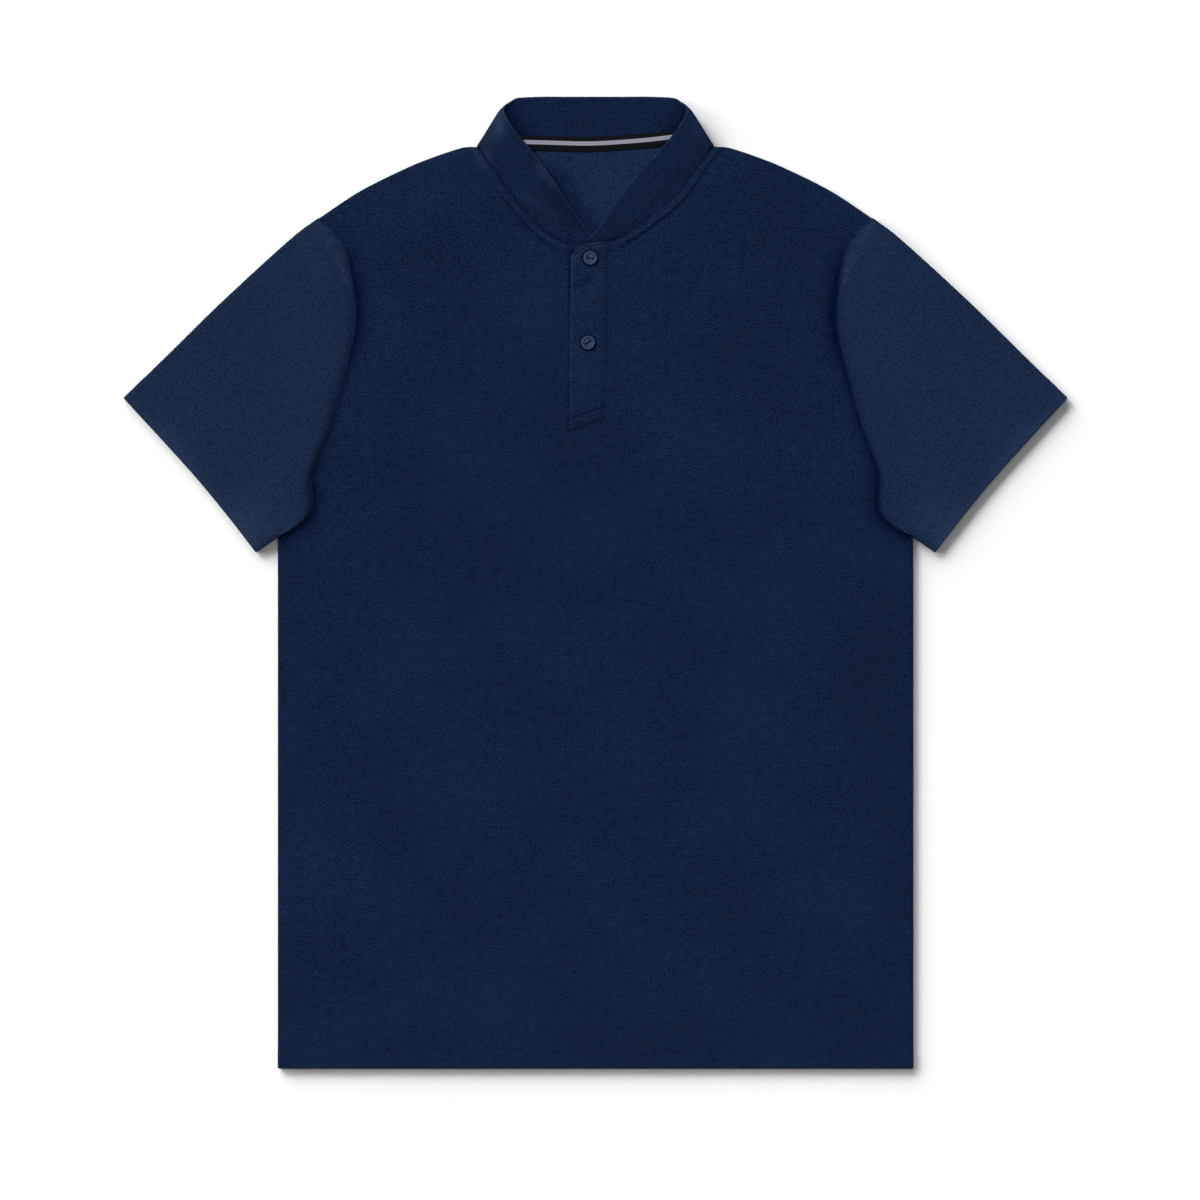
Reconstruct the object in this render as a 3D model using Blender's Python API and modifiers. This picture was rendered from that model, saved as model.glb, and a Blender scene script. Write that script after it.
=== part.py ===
"""A short-sleeved polo shirt with a band collar, laid flat on its back, collar towards +Y.

Tables and sizes are in millimetres. In them x runs outward from the centre line and y up from the hem. The
objects are in metres, +Z up, with the origin on the surface under the middle of the shirt's box.
"""

import math

import bmesh
import bpy
from mathutils import Vector

MM = 0.001

# Driving dimensions.
LENGTH = 777.8  # hem to the top of the collar band at the back
HALF_WIDTH = 253.6  # centre line to a side seam
CLOTH = 1.2  # wall of the knit panels
BAND_WALL = 1.8  # two plies of the collar band
TAPE_WALL = 1.0
LAYER_GAP = 0.3  # clearance between one layer and the next
SEAM_GAP = 0.4  # clearance between two edges that are sewn together
OVERLAP = 3.0  # how far a sleeve's seam lies over the panel's edge
FOLD_RADIUS = 2.5  # how far in from its edge a flattened tube reaches full height
FOLD_COLUMN = 0.3  # share of that radius at which a tube has a column of points
SIDE_ROWS = 12  # rows of the panels along a side seam

UNDERARM = (HALF_WIDTH, 425.6)
SHOULDER = (221.5, 680.5)
SLEEVE_TIP = (377.2, 536.8)
SLEEVE_HEEL = (271.6, 413.6)
ARMPIT = [(236.5, 437.0), (228.6, 446.0), (227.6, 457.0)]
ARMHOLE = [(226.0, 478.0), (211.0, 517.0), (198.0, 565.0), (191.3, 600.0), (195.3, 636.8), (201.5, 657.5)]
SHOULDER_LINE = [(188.4, 701.6), (150.8, 720.8), (126.8, 730.4)]
SLEEVE_TOP = [(244.4, 663.2), (297.2, 615.2), (340.0, 573.5)]
CUFF = [(343.6, 500.0), (318.0, 471.2), (294.0, 442.4)]

# The slit down the front and the placket over it.
SLIT_LEFT, SLIT_RIGHT = -17.4, 5.6
SLIT_FOOT = 516.0
SLIT_HEAD_DROP = 0.3  # how far below the neck edge's first point the slit ends
PLACKET_LEFT = [(-21.5, 508.3), (-21.2, 580.0), (-20.9, 649.6)]
PLACKET_RIGHT = [(7.0, 518.6), (9.2, 585.0), (9.2, 662.0)]
PLACKET_HEAD = [(-15.6, 653.4), (-9.2, 658.6), (-3.6, 660.2)]
UNDER_HEAD = 659.2
PLACKET_ROWS = 16
PLACKET_GAP = 0.5  # clearance under placket_top, which spans two pieces

BUTTONS = [("button_1", -4.1, 648.3, -11.0), ("button_2", -5.8, 580.7, 37.0)]  # name, x, y, turn in degrees
BUTTON_RADIUS = 5.7
BUTTON_HOLE_RADIUS = 0.7
BUTTON_HOLE_SPACING = 3.3
BUTTON_PROFILE = [  # radius share, height: from the middle of the face, over the rim, to the back
    (0.0, 1.5),
    (0.58, 1.6),
    (0.68, 2.1),
    (0.82, 2.4),
    (0.95, 2.1),
    (1.0, 1.5),
    (0.94, 0.7),
    (0.6, 0.0),
]

TAPE = [(735.2, 2.05), (736.6, 2.15), (738.2, 2.65), (746.2, 2.65)]  # y, height: across the tape
TAPE_HALF_LENGTH = 66.0
TAPE_RISE = 2.0  # how much higher the tape's right end lies

# Sections of the collar band, from the fold beside the neck to the front edge: the point on the neck seam and
# the point on the rim, each with its height.
LEFT_BAND = [  # seam x, seam y, seam height, rim x, rim y, rim height
    (86.0, 726.5, 3.4, 68.5, 757.0, 8.6),
    (78.0, 715.0, 3.2, 58.0, 743.5, 8.8),
    (69.0, 702.0, 3.1, 45.0, 727.0, 8.0),
    (59.0, 689.5, 3.0, 34.5, 711.5, 7.0),
    (47.0, 676.5, 2.9, 24.5, 695.5, 5.4),
    (34.0, 666.2, 2.8, 15.0, 682.5, 3.8),
    (20.0, 660.4, 2.7, 7.5, 671.5, 3.0),
    (9.0, 660.4, 2.6, 3.0, 665.6, 2.6),
]
RIGHT_BAND = [
    (86.0, 728.0, 3.4, 71.0, 758.0, 8.6),
    (78.5, 717.5, 3.2, 60.5, 744.0, 8.8),
    (69.5, 704.5, 3.1, 48.0, 729.5, 8.0),
    (58.5, 692.5, 3.0, 36.0, 717.0, 7.4),
    (46.0, 683.2, 2.9, 25.5, 704.0, 6.8),
    (33.2, 673.6, 3.0, 16.5, 692.5, 6.4),
    (19.6, 666.0, 3.8, 9.0, 681.0, 6.0),
    (8.0, 662.6, 4.9, 1.5, 670.5, 5.6),
    (-5.0, 660.8, 5.0, -6.5, 663.8, 5.2),
]
BACK_BAND = [  # seam x, seam y, rim x, rim y: beyond the fold, lying on the surface
    (82.0, 739.4, 69.5, 773.2),
    (64.0, 740.5, 57.0, 777.2),
    (32.0, 740.5, 29.0, LENGTH),
    (0.0, 740.5, 0.0, LENGTH),
]
BAND_FOLD = ((93.2, 738.0), (73.0, 769.6))  # the fold's ends, on the seam and on the rim
BAND_FOLD_TOP = (3.8, 8.0)  # the upper layer's height at those ends
BAND_FOLD_STEPS = 4
BAND_CROWN = 0.8  # how far the band bulges between its edges

# How high the front panel and the sleeves stand.
FRONT_REST = CLOTH + LAYER_GAP + CLOTH / 2
FRONT_LOFT = 2.2
LOFT_REACH = 45.0  # how far in from its outer edges the front reaches its loft
NECK_LOFT_REACH = 25.0  # and how far from the neck seam
NECK_LOFT_SHARE = 0.25  # share of the loft left at the neck seam
SOFT_FOLDS = [  # x, y, direction in degrees, half length, half width, height
    (-150.0, 330.0, 75.0, 190.0, 40.0, 0.7),
    (140.0, 180.0, 62.0, 170.0, 34.0, 0.8),
    (60.0, 420.0, 105.0, 160.0, 45.0, 0.5),
    (-60.0, 120.0, 12.0, 140.0, 36.0, 0.4),
    (185.0, 470.0, 40.0, 80.0, 26.0, -0.5),
    (-185.0, 470.0, 140.0, 80.0, 26.0, -0.5),
]
HEEL_GAP = 1.2  # how much further a sleeve stays from the panels where its lower fold meets the side seam
SLEEVE_LIFT = [  # place on the armhole seam from the shoulder down, lift
    (0.0, 1.6),
    (0.12, 3.6),
    (0.35, 2.2),
    (0.6, 2.8),
    (0.85, 4.6),
    (1.0, 2.2),
]
SLEEVE_SECTIONS = [  # place from the armhole to the cuff, height of the seam, share of the lift
    (0.0, 3.9, 0.0),
    (0.03, 3.4, 0.75),
    (0.07, 2.9, 1.0),
    (0.15, 2.6, 0.85),
    (0.3, 2.5, 0.6),
    (0.5, 2.4, 0.42),
    (0.75, 2.4, 0.25),
    (1.0, 2.3, 0.0),
]

# Colours as sRGB, then roughness.
FINISHES = {
    "body_knit": ((0.075, 0.135, 0.235), 0.85),
    "collar_knit": ((0.07, 0.13, 0.225), 0.85),
    "tape": ((0.1, 0.11, 0.12), 0.7),
    "button": ((0.14, 0.2, 0.3), 0.35),
}


def linear(channel):
    return channel / 12.92 if channel <= 0.04045 else ((channel + 0.055) / 1.055) ** 2.4


def material(name):
    colour, roughness = FINISHES[name]
    made = bpy.data.materials.get(name) or bpy.data.materials.new(name)
    made.use_nodes = True
    shader = made.node_tree.nodes["Principled BSDF"]
    shader.inputs["Base Color"].default_value = (*map(linear, colour), 1)
    shader.inputs["Roughness"].default_value = roughness
    shader.inputs["Metallic"].default_value = 0
    return made


def smooth(share):
    share = min(max(share, 0), 1)
    return share * share * (3 - 2 * share)


def read(table, at, column):
    """The table's column at a place in its first one, straight between its rows."""
    for low, high in zip(table, table[1:]):
        if at <= high[0]:
            share = max(at - low[0], 0) / (high[0] - low[0])
            return low[column] + share * (high[column] - low[column])
    return table[-1][column]


def curve(points, steps=12):
    """A smooth line of short pieces through the points."""
    points = [Vector(p) for p in points]
    ends = [2 * points[0] - points[1], *points, 2 * points[-1] - points[-2]]
    line = []
    for a, b, c, d in zip(ends, ends[1:], ends[2:], ends[3:]):
        for step in range(steps):
            t = step / steps
            cubic = 2 * b + (c - a) * t + (2 * a - 5 * b + 4 * c - d) * t**2 + (3 * b - a - 3 * c + d) * t**3
            line.append(cubic / 2)
    return [*line, points[-1]]


def place(line, share):
    """The point at a share of the line's length."""
    lengths = [(b - a).length for a, b in zip(line, line[1:])]
    left = share * sum(lengths)
    for a, b, length in zip(line, line[1:], lengths):
        if left <= length:
            return a.lerp(b, left / length)
        left -= length
    return line[-1].copy()


def spaced(points, count):
    line = curve(points)
    return [place(line, step / count) for step in range(count + 1)]


def joined(*stretches):
    """The stretches one after another, each starting where the last one ends."""
    return [p for stretch in stretches[:-1] for p in stretch[:-1]] + stretches[-1]


def side(points, sign):
    """The points on the picture's left (-1) or right (1)."""
    return [Vector((sign * p[0], p[1])) for p in points]


def patch(low, high, left, right, across=None, up=None):
    """Rows of points that fill the space between four lines, with columns and rows at the shares across and up."""
    across = across or [i / (len(low) - 1) for i in range(len(low))]
    up = up or [j / (len(left) - 1) for j in range(len(left))]
    rows = []
    for t, start, end in zip(up, left, right):
        row = []
        for s, below, above in zip(across, low, high):
            between = below.lerp(above, t) + start.lerp(end, s)
            row.append(between - low[0].lerp(low[-1], s).lerp(high[0].lerp(high[-1], s), t))
        rows.append(row)
    return rows


def distance(point, line):
    """How far a point is from a line of straight pieces."""
    best = math.inf
    for a, b in zip(line, line[1:]):
        share = (point - a).dot(b - a) / max((b - a).length_squared, 1e-9)
        best = min(best, (point - a.lerp(b, min(max(share, 0), 1))).length)
    return best


def neck_seam(sections, sign):
    """The panel's neck edge beside the band, from the front edge to the neck point."""
    edge = []
    for seam_x, seam_y, _, rim_x, rim_y, _ in [*reversed(sections), fold_section()]:
        seam, rim = Vector((seam_x, seam_y)), Vector((rim_x, rim_y))
        edge.append(seam + (seam - rim).normalized() * SEAM_GAP)
    return side(edge, sign)


def fold_section():
    (seam, rim), (seam_top, rim_top) = BAND_FOLD, BAND_FOLD_TOP
    return (*seam, seam_top, *rim, rim_top)


def neck_point(sign):
    return neck_seam(LEFT_BAND, sign)[-1]


def outer_edge(sign):
    """Side seam, armpit and armhole, from the hem up to the shoulder."""
    armpit = [UNDERARM, *ARMPIT]
    hole = [ARMPIT[-1], *ARMHOLE, SHOULDER]
    seam = spaced([(HALF_WIDTH, 0), UNDERARM], SIDE_ROWS)
    return side(joined(seam, spaced(armpit, 4), spaced(hole, 14)), sign)


def shoulder_edge(sign, count):
    return side(spaced([SHOULDER, *SHOULDER_LINE, tuple(neck_point(1))], count), sign)


EDGES = {sign: outer_edge(sign) for sign in (-1, 1)}
SHOULDERS = {sign: shoulder_edge(sign, 8) for sign in (-1, 1)}
NECKS = {-1: neck_seam(LEFT_BAND[:-1], -1), 1: neck_seam(RIGHT_BAND[:-1], 1)}
HEM = [Vector((-HALF_WIDTH, 0)), Vector((HALF_WIDTH, 0))]


def front_height(point):
    """The middle of the front panel's wall: low at its edges, with a soft loft and a few long folds between."""
    sign = -1 if point.x < 0 else 1
    edge = min(distance(point, line) for line in (EDGES[sign], SHOULDERS[sign], HEM))
    from_neck = smooth(distance(point, NECKS[sign]) / NECK_LOFT_REACH)
    inner = smooth(edge / LOFT_REACH)
    loft = FRONT_LOFT * inner * (NECK_LOFT_SHARE + (1 - NECK_LOFT_SHARE) * from_neck)
    folds = 0
    for x, y, turn, half_length, half_width, height in SOFT_FOLDS:
        along = Vector((math.cos(math.radians(turn)), math.sin(math.radians(turn))))
        away = point - Vector((x, y))
        reach = (away.dot(along) / half_length) ** 2 + (along.cross(away) / half_width) ** 2
        folds += height * math.exp(-1.5 * reach)
    return FRONT_REST + loft + folds * inner


def lifted(rows, height, extra=0.0):
    return [[Vector((p.x, p.y, height(p) + extra)) for p in row] for row in rows]


def built(name, grids, wall, finish, closed=False):
    """A wall of even thickness on the grids of points, which meet where they share points."""
    shape = bmesh.new()
    for grid in grids:
        rows = [[shape.verts.new((p - Vector((0, LENGTH / 2, 0))) * MM) for p in row] for row in grid]
        for low, high in zip(rows, rows[1:]):
            quads = list(zip(low, low[1:], high[1:], high))
            if closed:
                quads.append((low[-1], low[0], high[0], high[-1]))
            for quad in quads:
                shape.faces.new(quad)
    bmesh.ops.remove_doubles(shape, verts=shape.verts, dist=1e-7)
    bmesh.ops.recalc_face_normals(shape, faces=shape.faces)
    mesh = bpy.data.meshes.new(name)
    shape.to_mesh(mesh)
    shape.free()
    mesh.materials.append(material(finish))
    piece = bpy.data.objects.new(name, mesh)
    collection.objects.link(piece)
    solid = piece.modifiers.new("Wall", "SOLIDIFY")
    solid.thickness = wall * MM
    solid.offset = 0
    mesh.shade_smooth()
    return piece


def back():
    """Flat on the surface, from hem to shoulders and back neck."""
    start = neck_point(1)
    half = [start, Vector((start.x - FOLD_RADIUS, start.y - SEAM_GAP / 2))]
    half += [Vector((seam_x, seam_y - SEAM_GAP)) for seam_x, seam_y, _, _ in BACK_BAND]
    neck = side(half, -1) + side(half[-2::-1], 1)
    head = joined(shoulder_edge(-1, 6), neck, shoulder_edge(1, 6)[::-1])
    hem = spaced([tuple(HEM[0]), tuple(HEM[1])], len(head) - 1)
    rows = patch(hem, head, EDGES[-1], EDGES[1])
    built("back", [lifted(rows, lambda p: CLOTH / 2)], CLOTH, "body_knit")


def front():
    """A half on each side of the slit, joined by a strip below it."""
    halves, inner = [], {}
    for sign, slit in ((-1, SLIT_LEFT), (1, SLIT_RIGHT)):
        neck = NECKS[sign]
        head = Vector((slit, neck[0].y - SLIT_HEAD_DROP))
        foot = Vector((slit, SLIT_FOOT))
        below = spaced([(slit, 0), tuple(foot)], 16)
        beside = spaced([tuple(foot), tuple(head)], len(EDGES[sign]) - len(below) - len(neck))
        around = [head, *neck]
        inner[sign] = below
        hem = spaced([(sign * HALF_WIDTH, 0), (slit, 0)], 8)
        halves.append(patch(hem, shoulder_edge(sign, 8), EDGES[sign], joined(below, beside, around)))
    strip = patch(
        spaced([(SLIT_LEFT, 0), (SLIT_RIGHT, 0)], 1),
        spaced([(SLIT_LEFT, SLIT_FOOT), (SLIT_RIGHT, SLIT_FOOT)], 1),
        inner[-1],
        inner[1],
    )
    built("front", [lifted(rows, front_height) for rows in (*halves, strip)], CLOTH, "body_knit")


def turn(share, length):
    """How far a flattened tube has risen at a share of its width: it rounds up from either fold."""
    inward = min(share, 1 - share) * length / FOLD_RADIUS
    return 1.0 if inward >= 1 else math.sqrt(1 - (1 - inward) ** 2)


def overlapping(share):
    """How much of its overlap a sleeve has at a place on its seam: none at the shoulder and under the arm."""
    return smooth(share / 0.08 - 0.2) * smooth((1 - share) / 0.07 - 0.3)


def sleeve(name, sign):
    """A flattened tube: its upper layer laps over the front's edge, its lower one meets the back's."""
    edge = EDGES[1][:SIDE_ROWS - 1:-1]
    steps = [(b - a).length for a, b in zip(edge, edge[1:])]
    fold = FOLD_RADIUS / sum(steps)
    places = [0, FOLD_COLUMN * fold, fold]
    places += [sum(steps[:i]) / sum(steps) for i in range(1, len(steps))]
    places += [1 - fold, 1 - FOLD_COLUMN * fold, 1]
    cuff = curve([SLEEVE_TIP, *CUFF, SLEEVE_HEEL])
    layers = []
    for overlap in (OVERLAP, 0):
        low = []
        for share in places:
            at = place(edge, share)
            ahead = place(edge, min(share + fold / 2, 1)) - place(edge, max(share - fold / 2, 0))
            inward = Vector((ahead.y, -ahead.x)).normalized()
            apart = SEAM_GAP + HEEL_GAP * smooth((share - 0.9) / 0.08)
            inside = overlapping(share)
            low.append(at + inward * (overlap * inside - apart * (1 - inside if overlap else 1)))
        high = [place(cuff, share) for share in places]
        tops = curve([tuple(low[0]), *SLEEVE_TOP, SLEEVE_TIP])
        unders = curve([tuple(low[-1]), SLEEVE_HEEL])
        rows = [row[0] for row in SLEEVE_SECTIONS]
        left = [place(tops, t) for t in rows]
        right = [place(unders, t) for t in rows]
        layers.append(patch(low, high, left, right, places, rows))
    grid = []
    for (_, base, share_of_lift), upper, lower in zip(SLEEVE_SECTIONS, *layers):
        over = ring_points(places, upper, base, share_of_lift, 1)
        under = ring_points(places, lower, base, share_of_lift, -1)
        grid.append([mirrored(p, sign) for p in (*over, *under[-2:0:-1])])
    built(name, [grid], CLOTH, "body_knit", closed=True)


def ring_points(places, points, base, share_of_lift, way):
    """A layer of one section of a sleeve: the upper one (way 1) or the lower one (-1)."""
    width = sum((b - a).length for a, b in zip(points, points[1:]))
    layer = []
    for share, p in zip(places, points):
        top = base + share_of_lift * read(SLEEVE_LIFT, share, 1)
        middle = (top + CLOTH / 2) / 2
        layer.append(Vector((p.x, p.y, middle + way * (top - middle) * turn(share, width))))
    return layer


def collar_band():
    """One strip from front edge to front edge, folded flat beside the neck on each side."""
    back_height = BAND_WALL / 2
    sections = []
    for sign, rows in ((-1, LEFT_BAND), (1, RIGHT_BAND)):
        half = []
        for seam_x, seam_y, seam_z, rim_x, rim_y, rim_z in reversed(rows):
            half.append((Vector((seam_x, seam_y, seam_z)), Vector((rim_x, rim_y, rim_z)), BAND_CROWN))
        seam, rim = (Vector((*p, 0)) for p in BAND_FOLD)
        for step in range(BAND_FOLD_STEPS + 1):
            angle = math.pi * step / BAND_FOLD_STEPS
            inset = Vector((FOLD_RADIUS * (1 - math.sin(angle)), 0, 0))
            ends = []
            for end, top in zip((seam, rim), BAND_FOLD_TOP):
                middle = (top + back_height) / 2
                ends.append(end - inset + Vector((0, 0, middle + (top - middle) * math.cos(angle))))
            half.append((*ends, BAND_CROWN * max(math.cos(angle), 0)))
        for seam_x, seam_y, rim_x, rim_y in BACK_BAND:
            half.append((Vector((seam_x, seam_y, back_height)), Vector((rim_x, rim_y, back_height)), 0))
        half = [(mirrored(a, sign), mirrored(b, sign), crown) for a, b, crown in half]
        sections += half if sign < 0 else half[-2::-1]
    across = 4
    rows = []
    for step in range(across + 1):
        share = step / across
        crown = math.sin(math.pi * share)
        rows.append([a.lerp(b, share) + Vector((0, 0, bulge * crown)) for a, b, bulge in sections])
    built("collar_band", [rows], BAND_WALL, "collar_knit")


def mirrored(point, sign):
    return Vector((sign * point.x, point.y, point.z))


def neck_tape():
    count = 10
    rows = []
    for y, height in TAPE:
        row = []
        for step in range(count + 1):
            x = TAPE_HALF_LENGTH * (2 * step / count - 1)
            row.append(Vector((x, y + TAPE_RISE * max(x, 0) / TAPE_HALF_LENGTH, height)))
        rows.append(row)
    built("neck_tape", [rows], TAPE_WALL, "tape")


def placket_rows():
    head = spaced([PLACKET_LEFT[-1], *PLACKET_HEAD, PLACKET_RIGHT[-1]], 5)
    foot = spaced([PLACKET_LEFT[0], PLACKET_RIGHT[0]], 5)
    return patch(foot, head, spaced(PLACKET_LEFT, PLACKET_ROWS), spaced(PLACKET_RIGHT, PLACKET_ROWS))


def placket_top():
    built("placket_top", [lifted(placket_rows(), front_height, CLOTH + PLACKET_GAP)], CLOTH, "body_knit")


def placket_under():
    left, right = SLIT_LEFT + SEAM_GAP, SLIT_RIGHT - SEAM_GAP
    low, high = SLIT_FOOT + SEAM_GAP, UNDER_HEAD
    foot, head = spaced([(left, low), (right, low)], 3), spaced([(left, high), (right, high)], 3)
    edges = [spaced([(x, low), (x, high)], PLACKET_ROWS) for x in (left, right)]
    rows = patch(foot, head, *edges)
    built("placket_under", [lifted(rows, front_height)], CLOTH, "body_knit")


def button(name, x, y, degrees):
    """A turned disc with a raised rim and two holes, just above the placket."""
    around = [Vector((x, y)) + Vector((math.cos(a), math.sin(a))) * BUTTON_RADIUS for a in range(12)]
    seat = max(front_height(p) for p in around) + CLOTH * 1.5 + PLACKET_GAP + LAYER_GAP
    mesh = bpy.data.meshes.new(name)
    profile = [(share * BUTTON_RADIUS * MM, 0, height * MM) for share, height in BUTTON_PROFILE]
    profile.append((0, 0, 0))
    mesh.from_pydata(profile, [(i, i + 1) for i in range(len(profile) - 1)], [])
    turned = bpy.data.objects.new(name + "_turned", mesh)
    collection.objects.link(turned)
    screw = turned.modifiers.new("Turn", "SCREW")
    screw.steps = screw.render_steps = 24
    screw.use_merge_vertices = True
    screw.merge_threshold = 1e-6
    screw.use_normal_calculate = True
    disc = bpy.data.meshes.new_from_object(turned.evaluated_get(bpy.context.evaluated_depsgraph_get()))
    bpy.data.objects.remove(turned)
    disc.name = name
    disc.materials.append(material("button"))
    piece = bpy.data.objects.new(name, disc)
    piece.location = (x * MM, (y - LENGTH / 2) * MM, seat * MM)
    piece.rotation_euler.z = math.radians(degrees)
    collection.objects.link(piece)
    for way in (-1, 1):
        cutter = hole_cutter(f"{name}_hole_{way}")
        cutter.parent = piece
        cutter.location.x = way * BUTTON_HOLE_SPACING / 2 * MM
        cut = piece.modifiers.new("Hole", "BOOLEAN")
        cut.object = cutter


def hole_cutter(name):
    shape = bmesh.new()
    radius = BUTTON_HOLE_RADIUS * MM
    bmesh.ops.create_cone(shape, cap_ends=True, segments=10, radius1=radius, radius2=radius, depth=8 * MM)
    mesh = bpy.data.meshes.new(name)
    shape.to_mesh(mesh)
    shape.free()
    cutter = bpy.data.objects.new(name, mesh)
    cutter.hide_render = True
    cutter.display_type = "WIRE"
    cutters.objects.link(cutter)
    return cutter


for old in list(bpy.data.objects):
    bpy.data.objects.remove(old)
collection = bpy.data.collections.new("polo_shirt")
cutters = bpy.data.collections.new("cutters")
bpy.context.scene.collection.children.link(collection)
bpy.context.scene.collection.children.link(cutters)

back()
front()
sleeve("sleeve_left", -1)
sleeve("sleeve_right", 1)
collar_band()
neck_tape()
placket_under()
placket_top()
for row in BUTTONS:
    button(*row)
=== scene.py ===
"""Looks of the polo shirt laid flat: cloth shells with seams and soft folds, stitches, tape and buttons.

Tables and sizes are in millimetres, x from the centre line and y up from the hem, as in the part's source.
The pieces are in metres in the frame's axes: +Z up from the surface, +Y towards the collar.
"""

import math

import bmesh
import bpy
import numpy as np
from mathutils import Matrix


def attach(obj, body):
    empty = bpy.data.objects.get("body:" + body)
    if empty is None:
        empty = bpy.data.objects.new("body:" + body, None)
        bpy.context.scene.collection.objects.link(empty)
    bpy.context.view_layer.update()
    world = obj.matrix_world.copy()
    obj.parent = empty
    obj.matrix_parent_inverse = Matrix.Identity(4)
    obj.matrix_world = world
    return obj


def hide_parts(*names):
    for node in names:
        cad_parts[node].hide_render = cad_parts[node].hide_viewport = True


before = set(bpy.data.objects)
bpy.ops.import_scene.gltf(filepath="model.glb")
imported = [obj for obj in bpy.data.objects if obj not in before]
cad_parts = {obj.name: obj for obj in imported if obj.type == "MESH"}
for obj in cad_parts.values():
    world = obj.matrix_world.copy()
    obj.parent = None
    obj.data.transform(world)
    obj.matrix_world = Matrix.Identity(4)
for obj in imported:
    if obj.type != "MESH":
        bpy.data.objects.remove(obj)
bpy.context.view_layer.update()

MM = 0.001

# The garment's form, as in the part's source.
LENGTH = 777.8
HALF_WIDTH = 254.2
CLOTH = 1.2
BAND_WALL = 1.8
TAPE_WALL = 0.8  # thinner than the part's 1 mm
LAYER_GAP = 0.3
SEAM_GAP = 0.4
OVERLAP = 1.6  # the part's 3 mm less what the seam takes up
FOLD_RADIUS = 2.5

UNDERARM = (HALF_WIDTH, 425.6)
SHOULDER = (221.5, 680.5)
SLEEVE_TIP = (376.9, 536.9)
SLEEVE_HEEL = (271.6, 414.1)
ARMPIT = [(236.5, 437), (228.6, 446), (227.6, 457)]
ARMHOLE = [(227.2, 478), (212.6, 517), (199.8, 565), (193.2, 600), (197.4, 636.8), (203.4, 657.5)]
SHOULDER_LINE = [(188.5, 702.3), (150.7, 721.1), (128, 730.2), (111.8, 735.6), (104, 737.6)]
SLEEVE_TOP = [(244.3, 663.1), (297, 615), (339.7, 573.2)]
CUFF = [(343.2, 500.3), (317.5, 471.6), (293.7, 442.7)]
HEM_EDGE = 0.8  # where the panels' grids start, so that their round edge reaches the hem's line

SLIT = {-1: -17.4, 1: 5.6}
SLIT_FOOT = 516.0
PLACKET_LEFT = [(-20.9, 508.5), (-20.1, 580), (-19.4, 650.2)]
PLACKET_RIGHT = [(7, 518.6), (9.2, 585), (9.2, 662)]
PLACKET_HEAD = [(-15.6, 653.4), (-9.2, 658.6), (-3.6, 660.2)]
UNDER_HEAD = 659.2
PLACKET_GAP = 0.5

BUTTONS = [("button_1", -4.1, 648.3, -11), ("button_2", -5.8, 580.7, 37)]  # node, x, y, turn in degrees
BUTTON_THREADS = {"button_1": "button_thread", "button_2": "dark_thread"}
BUTTON_RADIUS = 5.7
BUTTON_HOLE_RADIUS = 0.85
BUTTON_HOLE_SPACING = 3.3
# From the flat of the face, over the rim, to the flat of the back: share of the radius, height.
BUTTON_PROFILE = [
    (0.3, 1.5), (0.5, 1.53), (0.58, 1.62), (0.63, 1.85), (0.68, 2.12), (0.75, 2.33), (0.82, 2.4),
    (0.89, 2.33), (0.95, 2.08), (0.985, 1.75), (1, 1.4), (0.985, 1.05), (0.94, 0.7), (0.82, 0.32), (0.6, 0),
]  # fmt: skip

TAPE = [(735.2, 2.05), (736.6, 2.15), (738.2, 2.65), (746.2, 2.65)]  # y, height: across the tape
TAPE_HALF_LENGTH = 66.0
# Along the tape: x, how far it is shifted up.
TAPE_RISE = [(-66, 0.5), (-45, 0), (0, -0.8), (20, 0.3), (45, 2.4), (66, 5)]

# Sections of the collar band from the fold beside the neck to the front edge.
LEFT_BAND = [  # seam x, seam y, seam height, rim x, rim y, rim height
    (86, 726.5, 3.4, 69.6, 757, 7.4),
    (78, 715, 3.2, 59.8, 743.5, 7.6),
    (69, 702, 3.1, 46, 727, 7.4),
    (59, 689.5, 3, 34.8, 711.5, 7.9),
    (47, 676.5, 2.9, 24.5, 695.5, 6),
    (34, 666.2, 2.8, 15, 682.5, 4.4),
    (20, 660.4, 2.7, 7.5, 671.5, 3),
    (4.5, 659.6, 2.6, 0.5, 664.6, 2.6),
]
RIGHT_BAND = [
    (86, 728, 3.4, 70.2, 758, 7.6),
    (78.5, 717.5, 3.2, 60.5, 744, 8),
    (69.5, 704.5, 3.1, 48, 729.5, 8),
    (58.5, 692.5, 3, 36, 717, 7.4),
    (46, 683.2, 2.9, 25.5, 704, 6.8),
    (33.2, 673.6, 3, 16.5, 692.5, 6.4),
    (19.6, 666, 3.8, 9, 681, 6),
    (8, 662.6, 4.3, 1.5, 670.5, 5.6),
    (-5, 660.8, 4.3, -6.5, 663.8, 5),
]
BACK_BAND = [  # seam x, seam y, rim x, rim y, rim height, from beside the fold to the middle of the back
    (82, 739.4, 63.8, 775.5, 3.6),
    (64, 740.5, 57.5, 776.5, 2.4),
    (44, 740.5, 42, 777.2, 1.2),
    (22, 740.5, 20, 777.2, 0.9),
    (0, 740.5, 0, 777.2, 0.9),
]
BAND_FOLD = ((94.3, 738), (73, 769.6))
# The rim's loop at the fold.
FOLD_RIM = [(72.9, 763.6), (73.7, 766.2), (72.9, 768.8), (70.6, 771.2), (67.3, 773.3)]
FOLD_LEAN = 1.7  # how far the band bows outward there below its rim
FOLD_MIDDLE = (60, 757)
BAND_FOLD_TOP = (3.8, 7.2)
BAND_FOLD_LOW = (BAND_WALL / 2, 4.4)
BAND_CROWN = 0.8

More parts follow.
